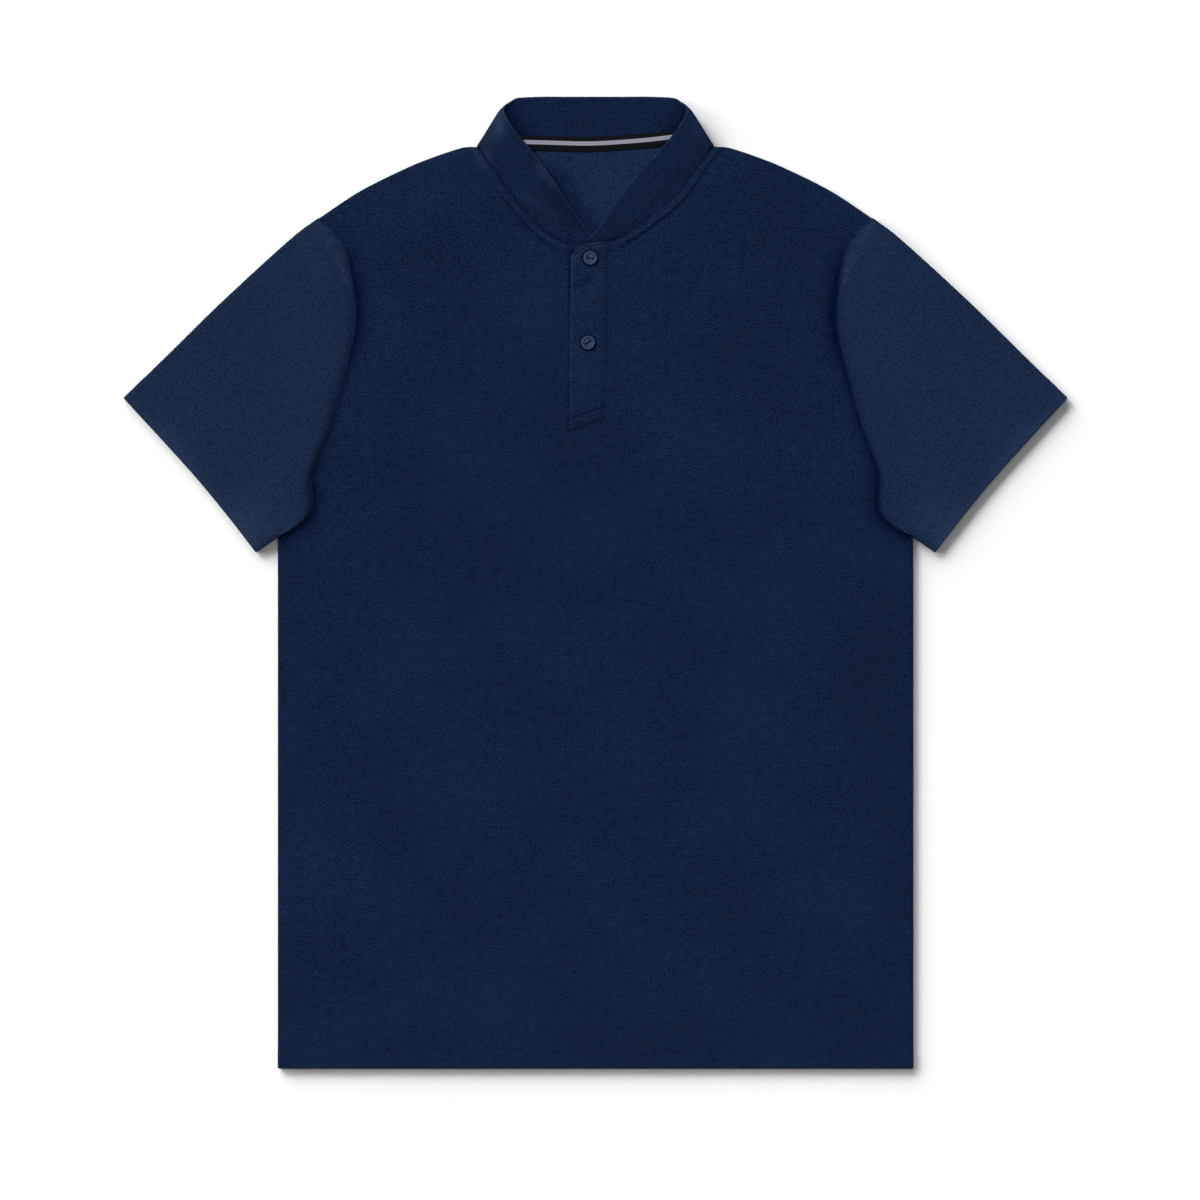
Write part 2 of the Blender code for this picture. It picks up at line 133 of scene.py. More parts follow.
FRONT_REST = CLOTH + LAYER_GAP + CLOTH / 2
FRONT_LOFT = 2.2
LOFT_REACH = 45.0
NECK_LOFT_REACH = 25.0
NECK_LOFT = 0.25  # share of the loft that is left at the neck
# Along the armhole seam from the shoulder: place, lift.
SLEEVE_LIFT = [(0, 1.6), (0.12, 3.6), (0.35, 2.2), (0.6, 2.8), (0.85, 4.6), (1, 2.2)]
SLEEVE_SECTIONS = [  # place from the armhole to the cuff, height of the seam, share of the lift
    (0, 3.9, 0),
    (0.03, 3.3, 0.4),
    (0.07, 2.9, 0.8),
    (0.15, 2.6, 0.9),
    (0.3, 2.5, 0.6),
    (0.5, 2.4, 0.42),
    (0.75, 2.4, 0.25),
    (1, 2.3, 0),
]

# Fine form, which only the looks have.
SEAM_ROLL = 3.0  # how far in from a side or shoulder seam the panels reach their full height
SEAM_HEIGHT = CLOTH + LAYER_GAP / 2  # where the two panels meet at those seams
SEAM_WALL = 0.15  # share of the wall left at the seam itself
HEM_DEPTH = 14.5
HEM_PLY = 0.25
HEM_LINE = (1.6, 0.35, 15, 120)  # half width, faintest share, x where it is plainest, its reach
HEM_DIP = 0.15  # how deep the hem is pressed in along that line
# Painted shade along the hem's sewn line.
HEM_SHADE = 0.06
STRIP_WIDTH = 5.6  # the flat-felled strip along the neck seam
STRIP_RISE = (0.45, 0.85)  # how proud it stands, on the left and on the right
STRIP_GROOVE = (0.3, 0.4)  # depth of the groove outside it
STRIP_SOFT = 1.6  # how softly the strip and its groove turn
STRIP_RIGHT = (14, 30)  # the x at which the right side's form begins, and is full
RIM_STEPS = 4  # faces round the edge of a cloth wall

FRONT_FOLDS = [  # x, y, direction in degrees, half length, half width, height
    (-150, 330, 75, 190, 40, 0.7),
    (140, 180, 62, 170, 34, 0.8),
    (60, 420, 105, 160, 45, 0.5),
    (-60, 120, 12, 140, 36, 0.4),
    (185, 470, 40, 80, 26, -0.5),
    (-185, 470, 140, 80, 26, -0.5),
    (-52, 462, 47, 70, 10, 0.5),
    (-34, 490, 52, 40, 5, 0.3),
    (232, 250, 96, 120, 12, 0.5),
    (-228, 150, 88, 130, 9, -0.4),
    (0, 42, 3, 150, 15, 0.4),
    (-150, 655, 150, 60, 14, 0.35),
    (95, 640, 25, 60, 16, -0.3),
    (-120, 560, 100, 70, 18, 0.3),
    (130, 330, 128, 60, 12, -0.25),
    (175, 120, 115, 60, 10, 0.3),
]
BACK_FOLDS = [
    (-110, 250, 80, 160, 22, 0.25),
    (90, 420, 100, 150, 26, 0.3),
    (30, 620, 15, 110, 18, 0.2),
    (170, 140, 120, 90, 16, 0.2),
]
SLEEVE_FOLDS = {
    -1: [
        (232, 655, -62, 34, 8, 0.5),
        (250, 628, -48, 46, 10, -0.3),
        (222, 610, -84, 60, 8, 0.12),
        (300, 540, -42, 60, 16, 0.4),
        (262, 452, -30, 36, 9, 0.7),
        (290, 500, 28, 60, 14, -0.35),
    ],
    1: [
        (226, 660, -50, 30, 8, 0.45),
        (243, 640, -42, 40, 9, -0.3),
        (216, 600, -80, 56, 9, 0.1),
        (310, 552, -44, 52, 14, 0.35),
        (258, 446, -24, 32, 8, 0.8),
        (282, 486, 36, 54, 12, -0.35),
    ],
}
PLACKET_FOLDS = [
    (-14, 625.5, 14, 10, 2.4, -0.55),
    (-15, 631, 22, 9, 3, 0.3),
    (-8, 560, 96, 30, 5, 0.2),
    (2, 607, 82, 26, 4, -0.18),
]


# Lines and grids.


def smooth(share):
    share = np.clip(share, 0, 1)
    return share * share * (3 - 2 * share)


def read(table, at, column=1):
    """The table's column at places in its first one, on a smooth line."""
    rows = np.array(table, float)
    x, y = rows[:, 0], rows[:, column]
    slope = np.gradient(y, x)
    i = np.clip(np.searchsorted(x, at) - 1, 0, len(x) - 2)
    gap = x[i + 1] - x[i]
    t = np.clip((at - x[i]) / gap, 0, 1)
    ends = y[i] * (1 - t) ** 2 * (1 + 2 * t) + y[i + 1] * t**2 * (3 - 2 * t)
    return ends + gap * t * (1 - t) * (slope[i] * (1 - t) - slope[i + 1] * t)


def curve(points, steps=12):
    """A smooth line of short pieces through the points."""
    p = np.array(points, float)
    ends = np.vstack([2 * p[0] - p[1], p, 2 * p[-1] - p[-2]])
    a, b, c, d = ends[:-3], ends[1:-2], ends[2:-1], ends[3:]
    t = (np.arange(steps) / steps)[:, None, None]
    cubic = 2 * b + (c - a) * t + (2 * a - 5 * b + 4 * c - d) * t**2 + (3 * b - a - 3 * c + d) * t**3
    return np.vstack([0.5 * cubic.transpose(1, 0, 2).reshape(-1, p.shape[1]), p[-1]])


def span(vectors):
    """How long the vectors in the last axis are."""
    return np.linalg.norm(vectors, axis=-1)


def unit(vectors):
    return vectors / span(vectors)[..., None]


def stacked(*columns):
    return np.stack(np.broadcast_arrays(*columns), -1)


def rightward(vectors):
    """The vectors, each turned a quarter to its right."""
    return stacked(vectors[..., 1], -vectors[..., 0])


def run(line):
    """How far along the line each of its points is."""
    return np.concatenate([[0], np.cumsum(span(np.diff(line, axis=0)))])


def place(line, shares):
    """The points at shares of the line's length."""
    along = run(line)
    return np.stack([np.interp(np.asarray(shares) * along[-1], along, column) for column in line.T], axis=-1)


def joined(*stretches):
    """The stretches as one line, each starting where the last one ends."""
    return np.vstack([*(stretch[:-1] for stretch in stretches[:-1]), stretches[-1]])


def graded(length, *zones):
    """Shares of a length from 0 to 1, in zones of (end in mm, step in mm)."""
    marks, at = [0.0], 0.0
    for end, step in zones:
        count = max(1, round((end - at) / step))
        marks += [at + (end - at) * i / count for i in range(1, count + 1)]
        at = end
    return np.array(marks) / length


def patch(low, high, left, right, across, up):
    """A grid of points between four lines, which are given at the shares across and up."""
    u, v = across[None, :, None], up[:, None, None]
    between = low[None] * (1 - v) + high[None] * v + left[:, None] * (1 - u) + right[:, None] * u
    corners = (low[0] * (1 - u) + low[-1] * u) * (1 - v) + (high[0] * (1 - u) + high[-1] * u) * v
    return between - corners


def distance(points, line):
    """How far each point is from a line of straight pieces."""
    best = np.full(points.shape[:-1], np.inf)
    for a, b in zip(line, line[1:]):
        step = b - a
        share = np.clip((points - a) @ step / max(step @ step, 1e-12), 0, 1)
        best = np.minimum(best, span(points - a - share[..., None] * step))
    return best


def from_own(points, lines):
    """How far each point is from the line on its own side of the centre."""
    return np.where(points[..., 0] < 0, distance(points, lines[-1]), distance(points, lines[1]))


def from_neck(points):
    return np.minimum(distance(points, NECKS[-1]), distance(points, NECKS[1]))


def folds(table, points):
    """The height of the table's soft ridges and troughs at each point."""
    height = np.zeros(points.shape[:-1])
    for x, y, degrees, half_length, half_width, rise in table:
        along, across = directions(math.radians(degrees))
        away = points - (x, y)
        reach = (away @ along / half_length) ** 2 + (away @ across / half_width) ** 2
        height += rise * np.exp(-1.5 * reach)
    return height


def bump(away, width):
    return np.exp(-((away / width) ** 2))


def edge_lines(away, *rows):
    """Soft lines along an edge, in rows of strength, distance from the edge and half width."""
    return sum(strength * bump(away - at, width) for strength, at, width in rows)


def strokes(table, points):
    """Soft strokes, in rows of x, y to x, y, half width and strength."""
    ends = [np.array([row[:2], row[2:4]], float) for row in table]
    return sum(row[5] * bump(distance(points, line), row[4]) for line, row in zip(ends, table))


def blend(ends, share):
    return ends[0] + (ends[1] - ends[0]) * share


def directions(turn):
    """The direction at an angle from +X, and the one square to it."""
    along = np.array((math.cos(turn), math.sin(turn)))
    return along, np.array((-along[1], along[0]))


# The garment's lines.

FOLD_SECTION = (*BAND_FOLD[0], BAND_FOLD_TOP[0], *BAND_FOLD[1], BAND_FOLD_TOP[1])


def neck_seam(sections, sign):
    """The panel's neck edge beside the band, from the front edge to the neck point."""
    rows = np.array([*reversed(sections), FOLD_SECTION])
    return mirrored(rows[:, :2] + unit(rows[:, :2] - rows[:, 3:5]) * SEAM_GAP, sign)


def mirrored(points, sign):
    return np.asarray(points, float) * (sign, 1)


NECK_POINT = tuple(neck_seam(LEFT_BAND, 1)[-1])
ARMPIT_LINE = curve([UNDERARM, *ARMPIT])
HOLE_LINE = curve([ARMPIT[-1], *ARMHOLE, SHOULDER])
SHOULDER_CURVE = curve([SHOULDER, *SHOULDER_LINE, NECK_POINT])
SEAMS = {s: mirrored([(HALF_WIDTH, 0), UNDERARM], s) for s in (-1, 1)}
HOLES = {s: mirrored(joined(ARMPIT_LINE, HOLE_LINE), s) for s in (-1, 1)}
SHOULDERS = {s: mirrored(SHOULDER_CURVE, s) for s in (-1, 1)}
NECKS = {-1: curve(neck_seam(LEFT_BAND[:-1], -1), 4), 1: curve(neck_seam(RIGHT_BAND[:-1], 1), 4)}
HEM = np.array([(-HALF_WIDTH, 0), (HALF_WIDTH, 0)], float)
PLACKET_EDGES = [curve(line) for line in (PLACKET_LEFT, PLACKET_RIGHT)]
PLACKET_TOP = curve([PLACKET_LEFT[-1], *PLACKET_HEAD, PLACKET_RIGHT[-1]])
PLACKET_FOOT = np.array([PLACKET_LEFT[0], PLACKET_RIGHT[0]], float)


def front_form(xy):
    """The middle height of the front's wall: low at its edges, with a soft loft and folds between."""
    edge = np.minimum(distance(xy, HEM), np.minimum(from_own(xy, SEAMS), from_own(xy, HOLES)))
    edge = np.minimum(edge, from_own(xy, SHOULDERS))
    inner = smooth(edge / LOFT_REACH)
    loft = FRONT_LOFT * inner * blend((NECK_LOFT, 1), smooth(from_neck(xy) / NECK_LOFT_REACH))
    return FRONT_REST + loft + folds(FRONT_FOLDS, xy) * inner


def seam_roll(xy):
    """From 0 inside a panel to 1 at its side and shoulder seams, on a round."""
    near = np.minimum(from_own(xy, SEAMS), from_own(xy, SHOULDERS)) / SEAM_ROLL
    return 1 - np.sqrt(1 - (1 - np.minimum(near, 1)) ** 2)


def hem(xy):
    """From 0 to 1 over the turned-up hem."""
    return smooth((HEM_DEPTH - xy[..., 1]) / 1.5 + 0.5)


def hem_line(xy):
    """The line where the hem is sewn, from 0 beside it up to 1 on it."""
    width, faint, middle, reach = HEM_LINE
    return bump(xy[..., 1] - HEM_DEPTH, width) * blend((faint, 1), bump(xy[..., 0] - middle, reach))


def panel_edges(xy):
    """How far each point is rolled into a seam, how far it is in the hem, and the wall there."""
    roll, hemmed = seam_roll(xy), hem(xy)
    return roll, hemmed, CLOTH * blend((1, SEAM_WALL), roll) + hemmed * HEM_PLY


def strip_side(xy):
    """From 0 on the left to 1 on the right, where the strip's outer edge is the sharper line."""
    start, full = STRIP_RIGHT
    return smooth((xy[..., 0] - start) / (full - start))


def neck_strip(xy):
    """The height of the strip beside the neck seam, and of the groove outside it."""
    away, right = from_neck(xy), strip_side(xy)
    raised = smooth((STRIP_WIDTH - away) / STRIP_SOFT + 0.5) * smooth(away / STRIP_SOFT + 0.2)
    groove = bump(away - STRIP_WIDTH - 1.5, STRIP_SOFT)
    return blend(STRIP_RISE, right) * raised - blend(STRIP_GROOVE, right) * groove


# Materials.

KNITS = {  # colour, relief in mm, width and height of a pair of loops in mm, how marked their shades are
    "body": ((0.057, 0.122, 0.221), 0.24, (2.1, 1.9), 1.3),
    # The sleeves' colour is the body's made lighter: painted light, where the sleeves catch more light.
    "sleeve": ((0.084, 0.148, 0.245), 0.16, (2.1, 1.9), 0.8),
    "inside": ((0.079, 0.146, 0.247), 0.2, (2.1, 1.9), 1.0),
    "collar": ((0.053, 0.116, 0.214), 0.2, (1.9, 1.7), 1.0),
    "placket": ((0.06, 0.126, 0.225), 0.24, (2.1, 1.9), 1.5),
}
KNIT_SHADES = (0.42, 1.6)  # the darkest and the lightest that the grain makes a knit's colour
PAINTED_SHADE = (0.95, 0.75, 0.52)  # share of each colour that full painted shade takes away
PAINTED_HIGHLIGHT = (0.0068, 0.0109, 0.0179)  # what a painted highlight adds to the colour


def linear(colour, share=1.0):
    return (*(share * (c / 12.92 if c <= 0.04045 else ((c + 0.055) / 1.055) ** 2.4) for c in colour), 1)


def node(tree, kind, inputs=(), **settings):
    """A new node. Its inputs pair a socket's name or place with a value or the socket that feeds it."""
    made = tree.nodes.new(kind)
    for key, value in settings.items():
        setattr(made, key, value)
    for key, value in dict(inputs).items():
        if isinstance(value, bpy.types.NodeSocket):
            tree.links.new(value, made.inputs[key])
        else:
            made.inputs[key].default_value = value
    return made


def maths(tree, operation, *values):
    return node(tree, "ShaderNodeMath", enumerate(values), operation=operation).outputs[0]


def vector(tree, operation, *values):
    return node(tree, "ShaderNodeVectorMath", enumerate(values), operation=operation).outputs[0]


def scaled(tree, value, by):
    """A vector times a socket or a number."""
    return node(tree, "ShaderNodeVectorMath", {0: value, "Scale": by}, operation="SCALE").outputs[0]


def length_of(tree, value):
    return node(tree, "ShaderNodeVectorMath", {0: value}, operation="LENGTH").outputs["Value"]


def wave(tree, operation, at, length):
    """A sine or cosine whose waves are that many millimetres long."""
    return maths(tree, operation, maths(tree, "MULTIPLY", at, 2 * math.pi / (length * MM)))


def noise(tree, at, size, detail=2.0, output=0):
    """Soft noise whose features are about size millimetres wide."""
    inputs = {"Vector": at, "Scale": 1 / (size * MM), "Detail": detail}
    return node(tree, "ShaderNodeTexNoise", inputs).outputs[output]


def total(tree, *parts):
    """The sum of sockets, in rows of share, middle that is taken off, and socket."""
    found = -sum(share * middle for share, middle, _ in parts)
    for share, _, socket in parts:
        found = maths(tree, "MULTIPLY_ADD", socket, share, found)
    return found


def ramp(tree, share, stops):
    """A colour that runs through the stops, which pair a place with a colour."""
    made = node(tree, "ShaderNodeValToRGB", {"Fac": share})
    elements = made.color_ramp.elements
    while len(elements) < len(stops):
        elements.new(0.5)
    for element, (at, colour) in zip(elements, stops):
        element.position, element.color = at, colour
    return made.outputs["Color"]


def greys(stops):
    """The stops of a ramp of greys, each given as its place and brightness."""
    return [(at, (bright, bright, bright, 1)) for at, bright in stops]


def finish(name, roughness, specular, sheen=0.0):
    """A new material, its node tree and its shader."""
    made = bpy.data.materials.new(name)
    made.use_nodes = True
    shader = made.node_tree.nodes["Principled BSDF"]
    shader.inputs["Roughness"].default_value = roughness
    shader.inputs["Specular IOR Level"].default_value = specular
    shader.inputs["Sheen Weight"].default_value = sheen
    shader.inputs["Sheen Roughness"].default_value = 0.5
    shader.inputs["Sheen Tint"].default_value = (0.45, 0.6, 0.9, 1)
    return made, made.node_tree, shader


def dress(tree, shader, colour, height, depth):
    """Feeds the shader a colour, and a relief of that depth in millimetres."""
    relief = node(tree, "ShaderNodeBump", {"Height": height, "Strength": 1.0, "Distance": depth * MM})
    tree.links.new(relief.outputs["Normal"], shader.inputs["Normal"])
    tree.links.new(colour, shader.inputs["Base Color"])


def weave_of(tree):
    return node(tree, "ShaderNodeAttribute", attribute_name="grain").outputs["Vector"]


def knit(name):
    """Pique knit: staggered loops with fibres, in a colour that varies a little over the cloth."""
    colour, relief, sizes, contrast = KNITS[name]
    made, tree, shader = finish(name + "_knit", 0.95, 0.04, 0.02)
    weave = weave_of(tree)
    drift = scaled(tree, noise(tree, weave, 9, output=1), 1.2 * MM)
    at = node(tree, "ShaderNodeSeparateXYZ", {0: vector(tree, "ADD", weave, drift)})
    waves = [wave(tree, "COSINE", at.outputs[i], size) for i, size in enumerate(sizes)]
    loops = maths(tree, "MULTIPLY", *waves)
    fibres = noise(tree, weave, 0.35, 3)
    grit = noise(tree, weave, 1.4, 1)
    mottle = noise(tree, weave, 6, 3)
    patches = noise(tree, weave, 90, 1)
    grain = ((0.45, 0, loops), (0.8, 0.5, fibres), (2.6, 0.5, grit), (0.8, 0.5, mottle), (0.4, 0.5, patches))
    share = maths(tree, "MULTIPLY_ADD", total(tree, *grain), contrast, 0.5)
    shades = ramp(tree, share, [(at, linear(colour, shade)) for at, shade in enumerate(KNIT_SHADES)])
    # The point attribute read here holds painted light: above 0 it darkens the colour with painted shade,
    # below 0 it adds a painted highlight.
    painted_light = node(tree, "ShaderNodeAttribute", attribute_name="painted_light").outputs["Fac"]
    shade_part = maths(tree, "MAXIMUM", painted_light, 0.0)
    highlight_part = maths(tree, "MAXIMUM", maths(tree, "MULTIPLY", painted_light, -1.0), 0.0)
    left = vector(tree, "SUBTRACT", (1, 1, 1), scaled(tree, PAINTED_SHADE, shade_part))
    lit_colour = vector(tree, "ADD", vector(tree, "MULTIPLY", shades, left), scaled(tree, PAINTED_HIGHLIGHT, highlight_part))
    dress(tree, shader, lit_colour, total(tree, (0.5, 0, loops), (0.6, 0.5, fibres), (0.8, 0.5, grit)), relief)
    return made


THREADS = {
    "thread": ("navy_thread", (0.062, 0.126, 0.228)),
    "button_thread": ("dull_thread", (0.165, 0.24, 0.345)),
    "dark_thread": ("black_thread", (0.065, 0.08, 0.11)),
}


def thread(name, colour):
    """Sewing thread, twisted."""
    made, tree, shader = finish(name, 0.8, 0.1, 0.02)
    lint = noise(tree, node(tree, "ShaderNodeTexCoord").outputs["Object"], 0.4, 2)
    shades = ramp(tree, lint, [(0.25, linear(colour, 0.7)), (0.75, linear(colour, 1.4))])
    dress(tree, shader, shades, lint, 0.08)
    return made


TAPE_WIDTH = 12.0
TAPE_STRIPE = (4.75, 8.0)  # where the pale stripe starts and ends across the tape
TAPE_EDGE = 0.012  # how soft the stripe's edges are, as a share of the tape's width
TAPE_LINE = (0.02, 0.62)  # the line down the stripe's middle: half width as that share, and how dark it is
TAPE_COLOURS = [(0.055, 0.065, 0.08), (0.63, 0.62, 0.68)]
TWILL = 0.7


def tape_finish():
    """Twill tape in two colours, with a line down the middle of the pale stripe."""
    made, tree, shader = finish("striped_twill", 0.8, 0.06, 0.0)
    weave = weave_of(tree)
    at = node(tree, "ShaderNodeSeparateXYZ", {0: weave})
    across = maths(tree, "MULTIPLY_ADD", noise(tree, weave, 1.2, 1), 0.3 * MM, at.outputs["Y"])
    share = maths(tree, "DIVIDE", across, TAPE_WIDTH * MM)
    dark, pale = (linear(c) for c in TAPE_COLOURS)
    low, high = (edge / TAPE_WIDTH for edge in TAPE_STRIPE)
    middle, (thin, dull) = (low + high) / 2, TAPE_LINE
    stops = [(low - TAPE_EDGE, dark), (low + TAPE_EDGE, pale), (middle - thin, pale)]
    stops += [(middle, linear(TAPE_COLOURS[1], dull)), (middle + thin, pale)]
    stripes = ramp(tree, share, [*stops, (high - TAPE_EDGE, pale), (high + TAPE_EDGE, dark)])
    twill = wave(tree, "SINE", maths(tree, "ADD", at.outputs["X"], at.outputs["Y"]), TWILL)
    darker = maths(tree, "MULTIPLY_ADD", twill, 0.12, 0.12)
    shade = node(tree, "ShaderNodeMix", {0: darker, 6: stripes, 7: dark}, data_type="RGBA")
    dress(tree, shader, shade.outputs[2], twill, 0.08)
    return made


BUTTON_COLOURS = [(0.3, (0.14, 0.212, 0.318)), (0.7, (0.172, 0.25, 0.366))]  # place in the clouding, colour
# Painted light by share of the button's radius: painted shade where the face meets the rim and at its edge, a
# painted highlight on the rim; and painted shade in a hole, by share of the reach from its middle.
BUTTON_PAINTED_LIGHT = [(0.0, 0.8), (0.5, 0.75), (0.62, 0.5), (0.72, 0.85), (0.84, 1.0), (0.93, 0.85), (1.0, 0.45)]
HOLE_PAINTED_SHADE = [(0.47, 0.03), (0.63, 1.0)]
HOLE_SHADE_REACH = 2.0


def button_finish():
    """Satin plastic with a faint clouding, painted shade in the holes, painted shade and highlight round the
    rim, and fine marks from turning.
    """
    made, tree, shader = finish("button_plastic", 0.55, 0.18)
    at = node(tree, "ShaderNodeTexCoord").outputs["Object"]
    colour = ramp(tree, noise(tree, at, 2.2, 3), [(place, linear(shade)) for place, shade in BUTTON_COLOURS])
    from_hole = vector(tree, "SUBTRACT", vector(tree, "ABSOLUTE", at), (BUTTON_HOLE_SPACING / 2 * MM, 0, 0))
    for away, whole, stops in ((at, BUTTON_RADIUS, BUTTON_PAINTED_LIGHT), (from_hole, HOLE_SHADE_REACH, HOLE_PAINTED_SHADE)):
        out = maths(tree, "DIVIDE", length_of(tree, vector(tree, "MULTIPLY", away, (1, 1, 0))), whole * MM)
        colour = vector(tree, "MULTIPLY", colour, ramp(tree, out, greys(stops)))
    dress(tree, shader, colour, noise(tree, at, 0.5, 3), 0.02)
    return made


FINISHES = {name: knit(name) for name in KNITS}
FINISHES |= {name: thread(*row) for name, row in THREADS.items()}
FINISHES |= {"tape": tape_finish(), "button": button_finish()}


# Building.


def put(name, data):
    """A new object in the scene."""
    made = bpy.data.objects.new(name, data)
    bpy.context.scene.collection.objects.link(made)
    return made


def added(name, mesh, finish_name):
    mesh.shade_smooth()
    mesh.materials.append(FINISHES[finish_name])
    return put(name, mesh)


def mesh_from(shape, name):
    """A mesh of the shape, which is then let go."""
    mesh = bpy.data.meshes.new(name)
    shape.to_mesh(mesh)
    shape.free()
    return mesh


def mesh_of(name, points, faces):
    """A mesh in the frame from points in the tables' millimetres."""
    mesh = bpy.data.meshes.new(name)
    mesh.from_pydata(((points - (0, LENGTH / 2, 0)) * MM).tolist(), [], [tuple(face) for face in faces])
    return mesh


def quads_of(rows, columns, closed=False):
    index = np.arange(rows * columns).reshape(rows, columns)
    if closed:
        index = np.hstack([index, index[:, :1]])
    return np.stack([index[:-1, :-1], index[:-1, 1:], index[1:, 1:], index[1:, :-1]], -1).reshape(-1, 4)


def welded(grids, closed):
    """The grids' points, walls, grain with painted light, and faces, with the shared points made one."""
    points, walls, weave, quads, start = [], [], [], [], 0
    for middle, wall, grain, *painted_light in grids:
        points.append(middle.reshape(-1, 3))
        walls.append(np.broadcast_to(wall, middle.shape[:2]).ravel())
        depth = np.broadcast_to(painted_light[0] if painted_light else 0.0, middle.shape[:2])
        weave.append(np.column_stack([grain.reshape(-1, 2) * MM, depth.ravel()]))
        quads.append(quads_of(*middle.shape[:2], closed) + start)
        start += len(points[-1])
    points, walls, weave, quads = (np.concatenate(parts) for parts in (points, walls, weave, quads))
    _, kept, merged = np.unique(np.round(points, 3), axis=0, return_index=True, return_inverse=True)
    return points[kept], walls[kept], weave[kept], merged.ravel()[quads]


def normals_of(points, quads):
    facing = np.cross(points[quads[:, 2]] - points[quads[:, 0]], points[quads[:, 3]] - points[quads[:, 1]])
    normals = np.zeros_like(points)
    for corner in quads.T:
        np.add.at(normals, corner, facing)
    return unit(normals)


def rim_of(points, quads, normals):
    """The edges that only one face has, the points on them, and the way outward at each."""
    edges = np.vstack([quads[:, [k, (k + 1) % 4]] for k in range(4)])
    _, first, count = np.unique(np.sort(edges, axis=1), axis=0, return_index=True, return_counts=True)
    rim = edges[first[count == 1]]
    outward = np.zeros_like(points)
    for end in (0, 1):
        np.add.at(outward, rim[:, end], np.cross(points[rim[:, 1]] - points[rim[:, 0]], normals[rim[:, end]]))
    ring = np.unique(rim)
    return rim, ring, unit(outward[ring])


def cloth(name, grids, finish_name, closed=False):
    """A wall of cloth with round edges, on grids that meet at the points they share.

    Each grid is its middle points, its wall, its grain and, where it has any, its painted light: painted
    shade up to 1 in seams and creases, a painted highlight below 0.
    """
    points, walls, weave, quads = welded(grids, closed)
    normals = normals_of(points, quads)
    rim, ring, outward = rim_of(points, quads, normals)
    ends = np.searchsorted(ring, rim)
    half = walls[:, None] / 2
    layers = [points + normals * half, points - normals * half]
    rings = [ring + len(points)]
    for step in range(1, RIM_STEPS):
        angle = math.pi * (step / RIM_STEPS - 0.5)
        way = normals[ring] * math.sin(angle) + outward * math.cos(angle)
        layers.append(points[ring] + half[ring] * way)
        rings.append(2 * len(points) + (step - 1) * len(ring) + np.arange(len(ring)))
    rings.append(ring)
    faces = [quads, quads[:, ::-1] + len(points)]
    for low, high in zip(rings, rings[1:]):
        faces.append(np.stack([high[ends[:, 1]], high[ends[:, 0]], low[ends[:, 0]], low[ends[:, 1]]], -1))
    mesh = mesh_of(name, np.vstack(layers), np.vstack(faces).tolist())
    weave = np.vstack([weave, weave, *[weave[ring]] * (RIM_STEPS - 1)])
    grain = mesh.attributes.new("grain", "FLOAT_VECTOR", "POINT")
    grain.data.foreach_set("vector", (weave * (1, 1, 0)).ravel())
    painted_light = mesh.attributes.new("painted_light", "FLOAT", "POINT")
    painted_light.data.foreach_set("value", weave[:, 2].copy())
    return added(name, mesh, finish_name)


def raised(xy, height):
    return np.concatenate([xy, height[..., None]], axis=-1)


# The panels.

HEM_ZONE = 20.0  # rows lie a millimetre apart this far up from the hem
PANEL_ROWS = {"front": (20, 68, 10, 62), "back": (12, 40, 8, 38)}  # hem zone, side seam, armpit, armhole
SLIT_ROWS = (20, 86, 26, 28)  # hem zone, from it to the slit's foot, the slit, the neck
BODY_STEP = 4.2
EDGE_ZONE = (12.0, 1.2)  # width and step of the finer columns along an edge
NECK_ZONE = (16.0, 1.0)
BACK_STEP = 6.0
BRIDGE_COLUMNS = 7  # between the front's two halves below the slit


def stepped(lines, counts):
    """The lines as one, each cut into its count of steps."""
    cut = [place(np.array(line, float), np.linspace(0, 1, count + 1)) for line, count in zip(lines, counts)]
    return joined(*cut)


def outer_edge(sign, rows):
    """A panel's side seam, armpit and armhole, from the hem up to the shoulder."""
    x = sign * HALF_WIDTH
    seams = ([(x, HEM_EDGE), (x, HEM_ZONE)], [(x, HEM_ZONE), (x, UNDERARM[1])])
    return stepped([*seams, mirrored(ARMPIT_LINE, sign), mirrored(HOLE_LINE, sign)], rows)


def inner_edge(sign):
    """The front's middle: up to the slit, along it, and round the neck to the neck point."""
    x = SLIT[sign]
    head = (x, NECKS[sign][0][1] - 0.3)
    below = ([(x, HEM_EDGE), (x, HEM_ZONE)], [(x, HEM_ZONE), (x, SLIT_FOOT)])
    return stepped([*below, [(x, SLIT_FOOT), head], np.vstack([head, NECKS[sign]])], SLIT_ROWS)


TROUGH = (-0.5, 1.0, 5.0)  # the front's trough beside a sleeve: height, distance from its edge, half width
# The soft shade along the armhole: y, strength. Then the share of it at the shoulder, and how far from there
# it starts to grow and is full.
HOLE_SHADES = [(425, 0.6), (465, 0.5), (500, 0.15), (540, 0.12), (585, 0.65), (640, 0.72), (680, 0.2)]
HOLE_FADE = (0.2, 15.0, 65.0)
STRIP_FALL = (716.0, 40.0)  # the y below which the painted shade on the strip's outer line grows, and over what length
STRIP_LIGHT = (-0.18, STRIP_WIDTH - 1.8, 1.8)
# Painted highlights on the front:
FRONT_LIGHTS = [(-97, 737, -90, 721, 3.5, 0.5)]  # from x, y to x, y, half width, strength
# The back's shade beside the left rim: strength, distance, half width, the y where it ends, over what length.
RIM_SHADOW = (0.6, 2.0, 12.0, 730.0, 20.0)


def beside_buttons(xy):
    """From 0 on the placket's lower part to 1 beside its top button."""
    return smooth((xy[..., 1] - 600.0) / 30)


